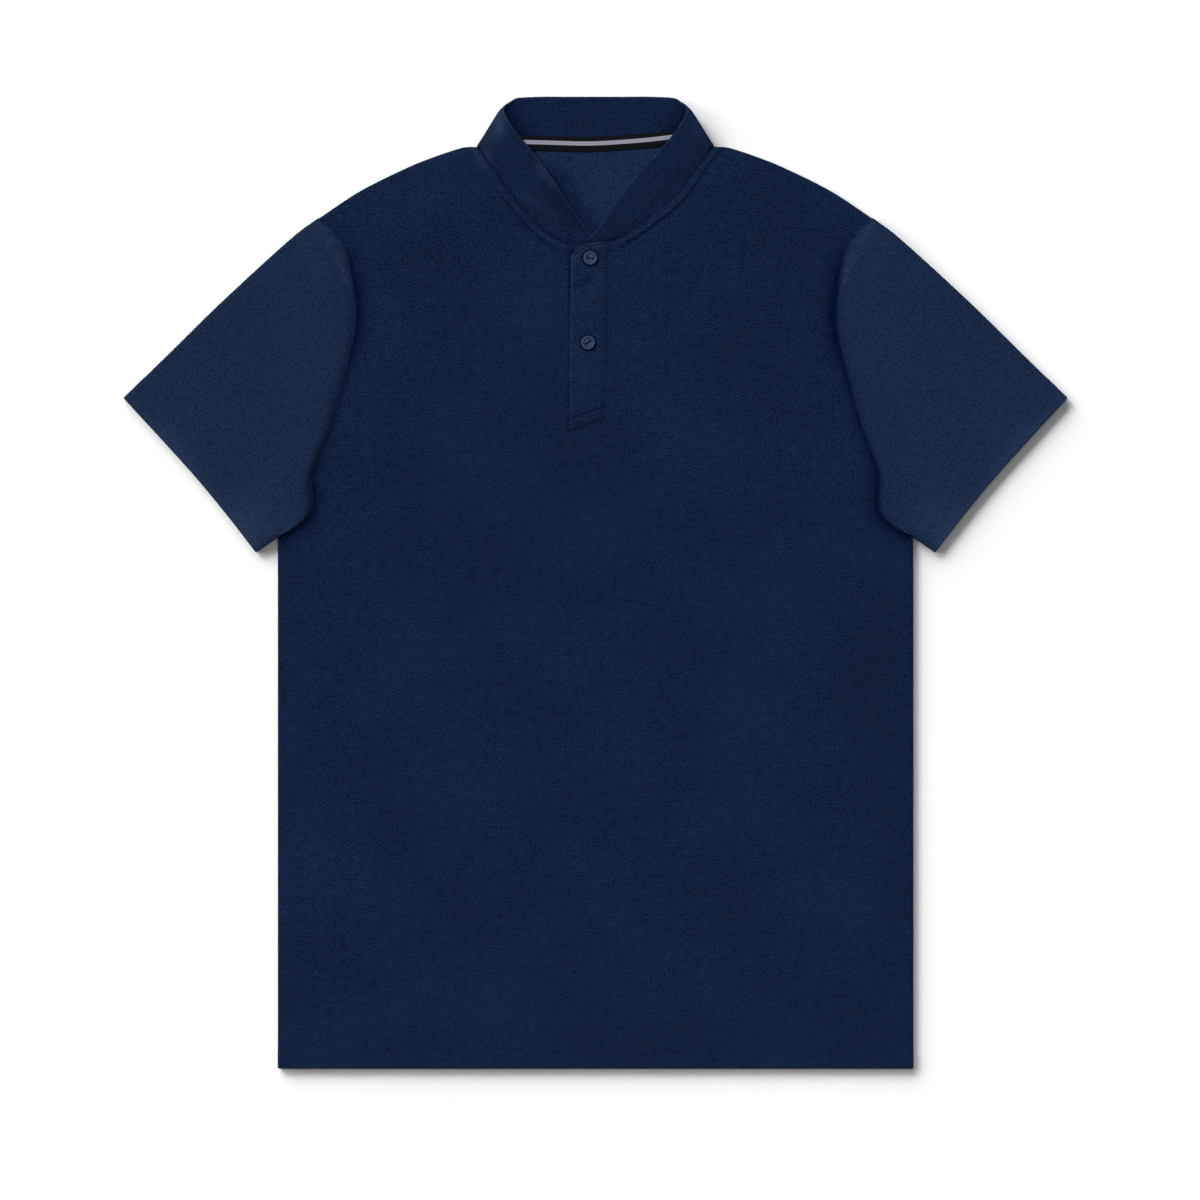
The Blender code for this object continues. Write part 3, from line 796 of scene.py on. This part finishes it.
def front_surface(xy):
    """The front's middle height, its wall, and its painted shade and highlights."""
    roll, hemmed, wall = panel_edges(xy)
    from_hole, away = from_own(xy, HOLES) - OVERLAP, from_neck(xy)
    height = front_form(xy) - roll * (FRONT_REST - SEAM_HEIGHT) + hemmed * HEM_PLY / 2
    height += neck_strip(xy) + edge_lines(from_hole, TROUGH) - HEM_DIP * hem_line(xy)
    least, start, full = HOLE_FADE
    armhole_shade_share = blend((least, 1), smooth((span(np.abs(xy) - SHOULDER) - start) / (full - start)))
    soft = read(HOLE_SHADES, np.clip(xy[..., 1], HOLE_SHADES[0][0], HOLE_SHADES[-1][0]))
    # Painted shade beside the armhole, along the hem line and along the neck strip's lines, a painted
    # highlight inside the strip and on FRONT_LIGHTS, and painted shade beside the placket's left edge.
    painted_light = armhole_shade_share * edge_lines(from_hole, (0.5, 0.7, 2.8), (soft, 2.0, 8.0)) + HEM_SHADE * hem_line(xy)
    inner = blend((0.45, 0.05), strip_side(xy))
    outer = blend((0.2, 0.65), smooth((STRIP_FALL[0] - xy[..., 1]) / STRIP_FALL[1]))
    painted_light += edge_lines(away, (inner, 0, 1.3), (outer, STRIP_WIDTH + 0.9, 1.4), STRIP_LIGHT)
    painted_light += blend((0.55, 1), beside_buttons(xy)) * bump(distance(xy, PLACKET_EDGES[0]) - 0.8, 1.4)
    return height, wall, np.clip(painted_light - strokes(FRONT_LIGHTS, xy), -1, 1)


def front():
    grids, inner = [], {}
    for sign in (-1, 1):
        outer, inner[sign] = outer_edge(sign, PANEL_ROWS["front"]), inner_edge(sign)
        width = abs(sign * HALF_WIDTH - SLIT[sign])
        across = graded(width, EDGE_ZONE, (width - NECK_ZONE[0], BODY_STEP), (width, NECK_ZONE[1]))
        hem_points = place(np.array([(sign * HALF_WIDTH, HEM_EDGE), (SLIT[sign], HEM_EDGE)]), across)
        up = np.linspace(0, 1, len(outer))
        half = patch(hem_points, place(SHOULDERS[sign], across), outer, inner[sign], across, up)
        grids.append(half[:, ::-sign])
    rows = sum(SLIT_ROWS[:2]) + 1
    share = np.linspace(0, 1, BRIDGE_COLUMNS)[None, :, None]
    grids.append(inner[-1][:rows, None] * (1 - share) + inner[1][:rows, None] * share)
    shells = []
    for xy in grids:
        height, wall, painted_light = front_surface(xy)
        shells.append((raised(xy, height), wall, xy, painted_light))
    return cloth("front_cloth", shells, "body")


def back():
    """Flat on the surface, turned up a little into the side and shoulder seams."""
    fold = (NECK_POINT[0] - FOLD_RADIUS, NECK_POINT[1] - SEAM_GAP / 2)
    neck = np.array([NECK_POINT, fold, *((x, y - SEAM_GAP) for x, y, *_ in BACK_BAND)])
    head = joined(SHOULDERS[-1], mirrored(neck, -1), neck[::-1], SHOULDERS[1][::-1])
    width = 2 * HALF_WIDTH
    across = graded(width, EDGE_ZONE, (width - EDGE_ZONE[0], BACK_STEP), (width, EDGE_ZONE[1]))
    edges = [outer_edge(sign, PANEL_ROWS["back"]) for sign in (-1, 1)]
    up = np.linspace(0, 1, len(edges[0]))
    xy = patch(place(HEM + (0, HEM_EDGE), across), place(head, across), *edges, across, up)
    roll, hemmed, wall = panel_edges(xy)
    inner = smooth(np.minimum(from_own(xy, SEAMS), from_own(xy, HOLES)) / LOFT_REACH)
    height = CLOTH / 2 + roll * (SEAM_HEIGHT - CLOTH / 2) + folds(BACK_FOLDS, xy) * inner
    height += hemmed * HEM_PLY / 2
    # Painted shadow of the left band on the back, beside its rim.
    left_rim = curve([(-x, y) for _, _, _, x, y, _ in LEFT_BAND])
    *shadow, top, fade = RIM_SHADOW
    shaded = edge_lines(distance(xy, left_rim), shadow) * smooth((top - xy[..., 1]) / fade)
    return cloth("back_cloth", [(raised(xy, height), wall, xy, shaded)], "inside")


# The sleeves.

SLEEVE_AXIS = math.radians(-37.7)  # the way that the right sleeve points
SEAM_DROP = 1.35  # how far a sleeve's edge turns down into the armhole seam
SEAM_TURN = 7.0  # and over what length
SEAM_THIN = 0.6  # how much of its wall is pressed away there
SLEEVE_LIGHTS = [  # from x, y to x, y, half width, strength: painted highlights on soft bends at a sleeve's head, heel and cuff, painted shade where below 0
    (224, 682, 213, 661, 4.5, 0.6),
    (206, 652, 199, 630, 3.5, 0.6),
    (236, 668, 222, 640, 6, 0.3),
    (254, 426, 270, 415, 6, -0.5),
    (346, 507, 322, 479, 9, 0.3),
    (279, 431, 279, 431, 28, 0.8),
]
SEAM_SHADE = {-1: 0.16, 1: 0.5}  # how dark the painted shade on a sleeve beside its armhole is
CUFF_PLY = 0.35
CUFF_DEPTH = 24.0
CUFF_DIP = (-0.12, CUFF_DEPTH, 1.8)  # what its stitches press in: height, distance from the edge, half width
# A painted highlight along the cuff's edge: strength, distance from it, half width.
CUFF_LIGHT = (-0.4, 0.0, 7.0)
SLEEVE_ROWS = graded(1.0, (0.012, 0.002), (0.05, 0.0075), (0.9, 0.02), (1.0, 0.01))


def sleeve(name, sign):
    """A flattened tube, turned down into the armhole seam above, and the line that its cuff is sewn along."""
    edge = HOLES[1][::-1]
    length = run(edge)[-1]
    fold = FOLD_RADIUS / length
    places = graded(length, (FOLD_RADIUS, 0.5), (length - FOLD_RADIUS, 3.6), (length, 0.5))
    cuff = place(curve([SLEEVE_TIP, *CUFF, SLEEVE_HEEL]), places)
    ahead = place(edge, np.minimum(places + fold / 2, 1)) - place(edge, np.maximum(places - fold / 2, 0))
    inward = rightward(unit(ahead))
    inside = smooth(places / 0.035 - 0.1) * smooth((1 - places) / 0.04 - 0.3)
    dark = SEAM_SHADE[sign] * blend((0.25, 1), smooth(places / 0.2 - 0.25))
    base, lift_share = (read(SLEEVE_SECTIONS, SLEEVE_ROWS, column)[:, None] for column in (1, 2))
    top = base + lift_share * read(SLEEVE_LIFT, places)[None]
    middle = (top + CLOTH / 2) / 2
    layers = []
    for way, overlap in ((1, OVERLAP), (-1, 0)):
        reach = overlap * inside - SEAM_GAP * (1 - inside if overlap else 1)
        low = place(edge, places) + inward * reach[:, None]
        tops = place(curve([low[0], *SLEEVE_TOP, SLEEVE_TIP]), SLEEVE_ROWS)
        unders = place(curve([low[-1], SLEEVE_HEEL]), SLEEVE_ROWS)
        xy = patch(low, cuff, tops, unders, places, SLEEVE_ROWS)
        width = span(np.diff(xy, axis=1)).sum(1)[:, None]
        from_fold = np.minimum(np.minimum(places, 1 - places)[None] * width / FOLD_RADIUS, 1)
        from_hole, from_cuff = (span(xy - end) for end in (xy[0], xy[-1]))
        height = middle + way * (top - middle) * np.sqrt(1 - (1 - from_fold) ** 2)
        if overlap:
            free = smooth(from_hole / 6) * smooth(from_fold) * smooth(from_cuff / 14)
            height += folds(SLEEVE_FOLDS[sign], xy) * free + edge_lines(from_cuff, CUFF_DIP)
            height -= SEAM_DROP * inside * smooth(1 - from_hole / SEAM_TURN)
        thin = SEAM_THIN * inside * smooth(1 - from_hole / 3)
        # Painted shade beside the armhole, painted highlights along the cuff and on SLEEVE_LIGHTS.
        painted_light = edge_lines(from_hole, (dark, 0, 1.8), (dark, 0, 6.0), (0.1, 0, 30.0))
        painted_light += edge_lines(from_cuff, CUFF_LIGHT) - strokes(SLEEVE_LIGHTS, xy)
        layers.append((xy, height, smooth((CUFF_DEPTH - from_cuff) / 3 + 0.5), thin, painted_light))
    xy, height, cuffed, thin, painted_light = (np.hstack([over, under[:, -2:0:-1]]) for over, under in zip(*layers))
    middle = raised(mirrored(xy, sign), height + cuffed * CUFF_PLY / 2)
    wall = CLOTH + cuffed * CUFF_PLY - thin
    weave = xy @ np.stack(directions(SLEEVE_AXIS), -1)
    made = cloth(name, [(middle, wall, weave, painted_light)], "sleeve", closed=True)
    row = np.argmin(np.abs(1 - SLEEVE_ROWS - (CUFF_DEPTH / span(xy[0] - xy[-1])).mean()))
    return made, middle[row, 3 : len(places) - 3] + (0, 0, (CLOTH + CUFF_PLY) / 2)


# The collar band and the neck tape.

FOLD_STEPS = 12
FRONT_COLUMNS = 97
BACK_COLUMNS = 41
BAND_ACROSS = graded(1.0, (0.12, 0.03), (0.84, 0.08), (1.0, 0.02))  # from the seam to the rim
RIM_STITCH = 2.2  # how far in from the rim the edge stitch runs
BLADE = (-2.0, 11.0, 672.0, 8.0)  # where the front ends cross: x, half width, the y they lie below, how softly
BAND_LIGHTS = [  # from x, y to x, y, half width, strength: painted highlights over the band's bends, painted shade where below 0
    (-80, 762, -84, 748, 10, 0.8),
    (-76, 767, -77, 750, 4.5, 1.4),
    (-92, 739, -85, 727, 3.5, 0.6),
    (-46, 722.5, -33, 704, 2.8, 0.85),
    (-38, 706, -15, 677, 5.5, -0.38),
    (78, 764, 86, 748, 7, 0.4),
    (-56, 700, -34, 680, 6, 0.2),
]


def band_half(sections, sign):
    """Sections from the front edge to the middle of the back.

    Each is a point on the seam and one on the rim, the bulge upward, the bow outward below the rim, and
    how far the strip lies behind.
    """
    lean = [0.0] * (len(sections) - 1) + [1.0]
    front_rows = [(*row, BAND_CROWN, bow, 0.0) for row, bow in zip(reversed(sections), lean)]
    seam, loop = BAND_FOLD[0], curve(FOLD_RIM)
    fold_rows = []
    for step in range(FOLD_STEPS + 1):
        angle = math.pi * step / FOLD_STEPS
        inset = FOLD_RADIUS * (1 - math.sin(angle))
        heights = [(t + b) / 2 + (t - b) / 2 * math.cos(angle) for t, b in zip(BAND_FOLD_TOP, BAND_FOLD_LOW)]
        ends = (seam[0] - inset, seam[1], heights[0], *place(loop, step / FOLD_STEPS), heights[1])
        fold_rows.append((*ends, BAND_CROWN * max(math.cos(angle), 0), FOLD_LEAN, step / FOLD_STEPS))
    back_rows = [(sx, sy, BAND_WALL / 2, rx, ry, rz, 0, 0, 1) for sx, sy, rx, ry, rz in BACK_BAND]
    front_line = place(curve([*front_rows, fold_rows[0]]), np.linspace(0, 1, FRONT_COLUMNS))
    back_line = place(curve([fold_rows[-1], *back_rows]), np.linspace(0, 1, BACK_COLUMNS))
    half = joined(front_line, np.array(fold_rows), back_line)
    return half * (sign, 1, 1, sign, 1, 1, 1, 1, 1)


def band_shade(xy, seam, rim, behind, from_seam, from_rim):
    """The band's painted shade at its seam, its edge stitch and behind the front, less the painted highlights
    on its bends.
    """
    ahead = 1 - behind
    front_rim = rim[behind == 0, :2]
    near_rim = np.minimum(*(distance(xy, front_rim[front_rim[:, 0] * sign > 0]) for sign in (-1, 1)))
    x, half_width, y, fall = BLADE
    blade = 0.9 * ahead * bump(seam[:, 0] - x, half_width) * smooth((y - seam[:, 1]) / fall)
    sewn = 0.5 * (1 - blade) * (1 - 0.9 * ahead * strip_side(seam))
    shade = edge_lines(from_seam, (sewn, 0, 1.4), (-0.5 * blade, 0.4, 0.8))
    shade += edge_lines(from_rim, (0.25, RIM_STITCH, 0.7), (-0.5, 0, 1.0), (-0.25 * behind, 1.3, 0.7))
    shade += 0.8 * behind * bump(near_rim, 9.0) - ahead * strokes(BAND_LIGHTS, xy)
    return np.clip(shade, -2, 1)


def collar_band():
    """One strip from front edge to front edge, folded flat beside the neck on each side."""
    sections = joined(band_half(LEFT_BAND, -1), band_half(RIGHT_BAND, 1)[::-1])
    seam, rim = sections[:, :3], sections[:, 3:6]
    bulge, lean, behind = sections[:, 6:].T
    share = BAND_ACROSS[:, None]
    middle = seam[None] * (1 - share[..., None]) + rim[None] * share[..., None]
    middle[..., 2] += bulge * np.sin(math.pi * share)
    sides = np.sign(rim[:, :1]) * (1, 0) + (0, 1)
    outward = unit(rim[:, :2] * sides - FOLD_MIDDLE) * sides
    middle[..., :2] += (lean * share**1.5 * (1 - share**10))[..., None] * outward[None]
    depth = span(rim - seam)
    from_rim, from_seam = (1 - share) * depth, share * depth
    pressed = edge_lines(from_rim, (0.55, RIM_STITCH, 0.8)) + edge_lines(from_seam, (0.6, 0, 1.0))
    wall = BAND_WALL - smooth(depth / 12) * pressed
    weave = stacked(run((seam + rim) / 2), from_seam)
    shade = band_shade(middle[..., :2], seam, rim, behind, from_seam, from_rim)
    return cloth("collar_band_cloth", [(middle, wall, weave, shade)], "collar"), middle


def neck_tape():
    rows = place(curve(TAPE, 4), np.linspace(0, 1, 17))
    x = np.linspace(-TAPE_HALF_LENGTH, TAPE_HALF_LENGTH, 67)
    y = rows[:, :1] + read(TAPE_RISE, x)
    middle, weave = stacked(x, y, rows[:, 1:]), stacked(x, run(rows)[:, None])
    return cloth("neck_tape_cloth", [(middle, TAPE_WALL, weave)], "tape"), middle


# The placket.

PLACKET_SINK = 0.8  # how much nearer to the front the strip lies where it is sewn down
PLACKET_THIN = 0.4  # how much of its wall is pressed away there
PLACKET_ROLL = 0.2
PLACKET_REST = CLOTH + PLACKET_GAP - 0.25
PLACKET_STITCH = 1.8  # how far in from the right edge its stitches run
FOOT_BOX = 10.6  # height of the stitched box at the foot
# Painted shade on the placket, a painted highlight where the strength is below 0:
PLACKET_SHADES = [  # from x, y to x, y, half width, strength
    (-17, 626, -6.5, 631.5, 3, 0.3),
    (-4, 618, 6, 634, 5, -0.2),
]
# Lines along its foot and its head: strength, distance from the edge, half width. FOOT_STITCHES press the
# cloth in and add a little painted shade; FOOT_LINES and HEAD_LINES are painted shade, and painted highlights
# below 0.
FOOT_STITCHES = [(1, 1.0, 0.7), (1, FOOT_BOX, 0.8)]
FOOT_LINES = [(0.8, 1.6, 0.9), (0.8, FOOT_BOX, 0.9), (-0.5, -0.2, 0.9), (-0.35, FOOT_BOX - 1.8, 0.9)]
HEAD_LINES = [(0.8, 1.8, 0.6), (-0.8, 0.6, 0.6), (-0.8, 3.1, 0.6)]
HEAD_DIP = (-0.35, 1.8, 0.6)
# Painted shadow in a ring round each button: strength, distance from its middle, half width.
BUTTON_SHADE = (0.95, BUTTON_RADIUS + 0.2, 1.2)


def placket_surface(xy):
    """The strip's middle height, wall and painted light; it is sewn down on the right and at its foot."""
    from_left, from_right = (distance(xy, line) for line in PLACKET_EDGES)
    from_foot, from_head = distance(xy, PLACKET_FOOT), distance(xy, PLACKET_TOP)
    sewn = np.maximum(smooth(1 - from_right / 5), smooth(1 - from_foot / 6))
    rolled = bump(from_left - 1.6, 1.5) * (1 - sewn)
    pressed = bump(from_right - PLACKET_STITCH, 0.7) + edge_lines(from_foot, *FOOT_STITCHES)
    height = front_form(xy) + PLACKET_REST - PLACKET_SINK * sewn + PLACKET_ROLL * rolled
    height += folds(PLACKET_FOLDS, xy) - 0.12 * np.minimum(pressed, 1) + edge_lines(from_head, HEAD_DIP)
    # Painted shade along the right edge, a painted highlight along the left edge.
    shade = 0.05 * pressed + 0.25 * bump(from_right, 0.8) + strokes(PLACKET_SHADES, xy)
    shade += edge_lines(from_foot, *FOOT_LINES) + edge_lines(from_head, *HEAD_LINES)
    shade -= blend((0.25, 0.65), beside_buttons(xy)) * bump(from_left - 1.2, 0.9)
    for _, x, y, _ in BUTTONS:
        shade += edge_lines(span(xy - (x, y)), BUTTON_SHADE)
    return height, CLOTH - PLACKET_THIN * sewn, np.clip(shade, -1, 1)


def placket_top():
    across, up = np.linspace(0, 1, 61), np.linspace(0, 1, 261)
    sides = [place(line, up) for line in PLACKET_EDGES]
    xy = patch(place(PLACKET_FOOT, across), place(PLACKET_TOP, across), *sides, across, up)
    height, wall, painted_light = placket_surface(xy)
    return cloth("placket_top_cloth", [(raised(xy, height), wall, xy, painted_light)], "placket")


def placket_under():
    x = np.linspace(SLIT[-1] + SEAM_GAP, SLIT[1] - SEAM_GAP, 15)
    y = np.linspace(SLIT_FOOT + SEAM_GAP, UNDER_HEAD, 90)
    xy = np.stack(np.meshgrid(x, y), -1)
    return cloth("placket_under_cloth", [(raised(xy, front_form(xy)), CLOTH, xy)], "placket")


# The buttons.

BUTTON_SIDES = 72
BUTTON_SHARP = 50.0  # edges that turn more than this are drawn sharp, in degrees
DRILL_LENGTH = 8.0
DRILL_SIDES = 24


def button(node_name, x, y, degrees):
    """A turned disc with a raised rim and two holes, and the height that it rests at."""
    angles = np.linspace(0, 2 * math.pi, BUTTON_SIDES, endpoint=False)
    ring = stacked(np.cos(angles), np.sin(angles))
    points = [(*(share * BUTTON_RADIUS * p * MM), z * MM) for share, z in BUTTON_PROFILE for p in ring]
    faces = quads_of(len(BUTTON_PROFILE), BUTTON_SIDES, closed=True)[:, ::-1].tolist()
    faces += [range(BUTTON_SIDES), range(len(points) - 1, len(points) - BUTTON_SIDES - 1, -1)]
    around = np.array([(x, y)]) + ring * BUTTON_RADIUS
    seat = front_form(around).max() + CLOTH * 1.5 + PLACKET_GAP + LAYER_GAP
    mesh = bpy.data.meshes.new(node_name)
    mesh.from_pydata(points, [], [tuple(face) for face in faces])
    disc = added(node_name + "_disc", mesh, "button")
    disc.location = (x * MM, (y - LENGTH / 2) * MM, seat * MM)
    disc.rotation_euler.z = math.radians(degrees)
    drill(disc)
    return disc, seat


def drill(disc):
    """Cuts the two holes through the disc."""
    radius = BUTTON_HOLE_RADIUS * MM
    sizes = {"radius1": radius, "radius2": radius, "depth": DRILL_LENGTH * MM}
    cutters = []
    for way in (-1, 1):
        shape = bmesh.new()
        bmesh.ops.create_cone(shape, cap_ends=True, segments=DRILL_SIDES, **sizes)
        cutter = put("hole", mesh_from(shape, "hole"))
        cutter.parent = disc
        cutter.location.x = way * BUTTON_HOLE_SPACING / 2 * MM
        disc.modifiers.new("Hole", "BOOLEAN").object = cutter
        cutters.append(cutter)
    drilled = bpy.data.meshes.new_from_object(disc.evaluated_get(bpy.context.evaluated_depsgraph_get()))
    disc.modifiers.clear()
    disc.data = drilled
    for cutter in cutters:
        bpy.data.objects.remove(cutter)
    drilled.set_sharp_from_angle(angle=math.radians(BUTTON_SHARP))


# Sewing.

STITCH_SIDES = 6
# Along one stitch: place, rise and girth in radii of the thread.
STITCH_FORM = [(0.0, -0.9, 0.35), (0.14, 0.35, 0.85), (0.5, 0.6, 1.0), (0.86, 0.35, 0.85), (1.0, -0.9, 0.35)]
SEWING = {  # pitch and length of the stitches, radius and finish of the thread
    "cloth": (3.1, 2.3, 0.13, "thread"),
    "edge": (2.9, 2.2, 0.13, "thread"),
    "tape": (2.6, 1.9, 0.15, "dark_thread"),
}


def strands(name, paths, radius, finish_name):
    """Short threads, each along its own few points, joined into one piece."""
    paths = np.array(paths, float)
    along = unit(np.gradient(paths, axis=1))
    side = unit(np.cross(along, (0, 0, 1)))
    up = np.cross(side, along)
    places, _, girths = np.array(STITCH_FORM).T
    girth = radius * np.interp(np.linspace(0, 1, paths.shape[1]), places, girths)[:, None, None]
    angles = np.linspace(0, 2 * math.pi, STITCH_SIDES, endpoint=False)[:, None]
    points = paths[:, :, None] + girth * (np.cos(angles) * side[:, :, None] + np.sin(angles) * up[:, :, None])
    one = quads_of(paths.shape[1], STITCH_SIDES, closed=True)
    each = paths.shape[1] * STITCH_SIDES
    starts = np.arange(len(paths)) * each
    faces = (one[None] + starts[:, None, None]).reshape(-1, 4).tolist()
    cap = np.arange(STITCH_SIDES)
    for end in (cap[::-1], cap + each - STITCH_SIDES):
        faces += (end + starts[:, None]).tolist()
    return added(name, mesh_of(name, points.reshape(-1, 3), faces), finish_name)


def stitched(name, kind, lines):
    """Rows of stitches along lines that lie on the cloth."""
    pitch, length, radius, finish_name = SEWING[kind]
    places, rises, _ = np.array(STITCH_FORM).T
    found = []
    for line in lines:
        whole = run(line)[-1]
        count = int(whole / pitch)
        for start in (np.arange(count) + 0.5) / count * whole - length / 2:
            path = place(line, (start + length * places) / whole)
            path[:, 2] += rises * radius
            found.append(path)
    return strands(name, found, radius, finish_name)


def offset(line, away):
    """The line moved sideways, to its right."""
    return line + away * rightward(unit(np.gradient(line, axis=0)))


def on_top(line, surface):
    """The line laid on the cloth that the surface function gives."""
    line = np.asarray(line, float)
    fine = place(line, np.linspace(0, 1, max(3, int(run(line)[-1]))))
    height, wall, _ = surface(fine)
    return raised(fine, height + wall / 2)


def front_threads():
    """Two rows at the hem, and two beside the neck that end short of the placket."""
    ends = (6 - HALF_WIDTH, HALF_WIDTH - 6)
    lines = [on_top([(x, y) for x in ends], front_surface) for y in (HEM_DEPTH, HEM_DEPTH - 4.8)]
    for sign in (-1, 1):
        for away in (1.5, STRIP_WIDTH - 0.9):
            line = offset(NECKS[sign], sign * away)
            lines.append(on_top(line[np.abs(line[:, 0] + 5.0) > 16.0], front_surface))
    return stitched("front_threads", "cloth", lines)


def placket_threads():
    """Down the right edge, across the foot and the top of its box, and along the head."""
    lines = [offset(PLACKET_EDGES[1], -PLACKET_STITCH)[2:-2]]
    lines += [PLACKET_FOOT * (0.9, 1) + (0, up) for up in (1.0, FOOT_BOX)]
    lines.append(offset(PLACKET_TOP, PLACKET_STITCH)[3:-3])
    return stitched("placket_threads", "edge", [on_top(line, placket_surface) for line in lines])


def band_threads(middle):
    """The edge stitch below the band's rim, on its outer face in front and its inner face behind."""
    rims, seams = middle[-1], middle[0]
    depth = span(rims - seams)
    share = np.minimum(RIM_STITCH / np.maximum(depth, 1e-6), 0.5)[:, None]
    line = rims * (1 - share) + seams * share + (0, 0, BAND_WALL / 2 - 0.2)
    return stitched("collar_band_threads", "edge", [line[depth > 9.0]])


def tape_threads(middle):
    return stitched("neck_tape_threads", "tape", [middle[row] + (0, 0, TAPE_WALL / 2) for row in (2, -3)])


HOLE_LENGTH = 13.0
HOLE_WIDTH = 2.4
HOLE_PITCH = 0.42
HOLE_REACHES = (0.3, 0.7, 1.05, 1.25)  # how far out from the slit each bar runs, after its inner end
HOLE_RISES = (-0.6, 0.5, 0.9, 0.5, -0.6)  # its height over the cloth, in radii of the thread
HOLE_THREAD = 0.16
BUTTONHOLES = [(-1.8, 648.3, 0.0), (-5.8, 578.6, math.pi / 2)]  # x, y, turn


def bars(middle, along, outward, places, inner):
    """Bars of thread side by side, each from its inner end outward."""
    reaches = (inner, *HOLE_REACHES)
    return [[middle + along * at + outward * reach for reach in reaches] for at in places]


def buttonhole(x, y, turn):
    """Bars of thread round a slit."""
    along, across = directions(turn)
    middle, half = np.array((x, y)), (HOLE_LENGTH - HOLE_WIDTH) / 2
    beside, ending = np.arange(-half, half, HOLE_PITCH), np.arange(-1.1, 1.2, HOLE_PITCH)
    found = []
    for way in (-1, 1):
        found += bars(middle, along, across * way, beside, 0.12)
        found += bars(middle + along * way * half, across, along * way, ending, 0.0)
    xy = np.array(found)
    height, wall, _ = placket_surface(xy)
    return raised(xy, height + wall / 2 + HOLE_THREAD * np.array(HOLE_RISES))


# From a button's hole up onto its face: how far in from the middle of the hole, height over its seat.
THREAD_CLIMB = [(0.7, 0.2), (0.74, 1.3), (1.0, 1.74)]
THREAD_LANES = (-0.2, 0.2)
BUTTON_STRAND = 0.17


def button_threads(node_name, x, y, degrees, seat):
    """Two strands side by side over the face, down into the two holes."""
    along, across = directions(math.radians(degrees))
    spots = [(inset - BUTTON_HOLE_SPACING / 2, up) for inset, up in THREAD_CLIMB]
    spots += [(-at, up) for at, up in reversed(spots)]
    found = []
    for lane in THREAD_LANES:
        found.append([(*((x, y) + along * at + across * lane), seat + up) for at, up in spots])
    return strands(node_name + "_thread", found, BUTTON_STRAND, BUTTON_THREADS[node_name])


# Camera, light and floor.

CAMERA_PLACE = (0.0036, -0.0137, 3.0)
FRAME_WIDTH = 0.96  # metres across the picture, at the garment
SENSOR = 36.0
SKY = 0.22
FLOOR_HALF = 3.0  # metres
FLOOR_TONES = [(0.0, 0.885), (1.0, 0.915)]
SUNS = [  # name, energy, angular size, elevation and turn in degrees, whether it lights the floor or the rest
    ("Key", 3.42, 40, 58, 225, False),
    ("Floor_light", 7.6, 23, 11.5, 225, True),
    ("Floor_light_top", 3.5, 26, 11.5, 193, True),
    ("Floor_light_side", 3.5, 26, 11.5, 257, True),
]


def studio():
    scene = bpy.context.scene
    camera = put("Camera", bpy.data.cameras.new("Camera"))
    camera.location = CAMERA_PLACE
    camera.data.sensor_width = SENSOR
    camera.data.lens = SENSOR * (CAMERA_PLACE[2] - 3 * MM) / FRAME_WIDTH
    scene.camera = camera
    world = bpy.data.worlds.new("Studio")
    world.use_nodes = True
    world.node_tree.nodes["Background"].inputs["Color"].default_value = (1, 1, 1, 1)
    world.node_tree.nodes["Background"].inputs["Strength"].default_value = SKY
    scene.world = world
    scene.view_settings.view_transform = "Standard"

    shape = bmesh.new()
    bmesh.ops.create_grid(shape, x_segments=8, y_segments=8, size=FLOOR_HALF)
    floor = put("floor", mesh_from(shape, "floor"))
    paper, tree, shader = finish("pale_paper", 0.9, 0.1)
    at = node(tree, "ShaderNodeTexCoord").outputs["Object"]
    tone = ramp(tree, noise(tree, at, 300, 2), greys(FLOOR_TONES))
    tree.links.new(tone, shader.inputs["Base Color"])
    floor.data.materials.append(paper)
    for name, energy, angle, elevation, turn, on_floor in SUNS:
        light = put(name, bpy.data.lights.new(name, "SUN"))
        light.data.energy, light.data.angle = energy, math.radians(angle)
        light.rotation_euler = (math.radians(90 - elevation), 0, math.radians(turn))
        lit = bpy.data.collections.new(name + "_on")
        lit.objects.link(floor)
        lit.collection_objects[0].light_linking.link_state = "INCLUDE" if on_floor else "EXCLUDE"
        light.light_linking.receiver_collection = lit


def settle(piece, slot, *nodes):
    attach(piece, "root")
    if nodes:
        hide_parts(*nodes)
    return piece


studio()
front_piece = settle(front(), "body_knit", "front")
front_sewing = settle(front_threads(), "body_knit")
back_piece = settle(back(), "body_knit", "back")
for side, sign in (("left", -1), ("right", 1)):
    piece, cuff_line = sleeve(f"sleeve_{side}_cloth", sign)
    settle(piece, "body_knit", f"sleeve_{side}")
    sewing = settle(stitched(f"sleeve_{side}_threads", "cloth", [cuff_line]), "body_knit")
band, band_grid = collar_band()
settle(band, "collar_knit", "collar_band")
band_sewing = settle(band_threads(band_grid), "collar_knit")
tape, tape_grid = neck_tape()
settle(tape, "tape", "neck_tape")
tape_sewing = settle(tape_threads(tape_grid), "tape")
upper = settle(placket_top(), "body_knit", "placket_top")
under = settle(placket_under(), "body_knit", "placket_under")
holes = np.concatenate([buttonhole(*row) for row in BUTTONHOLES])
upper_sewing = [settle(placket_threads(), "body_knit")]
upper_sewing.append(settle(strands("buttonhole_threads", holes, HOLE_THREAD, "thread"), "body_knit"))
for row in BUTTONS:
    disc, seat = button(*row)
    settle(disc, "button", row[0])
    settle(button_threads(*row, seat), "body_knit")
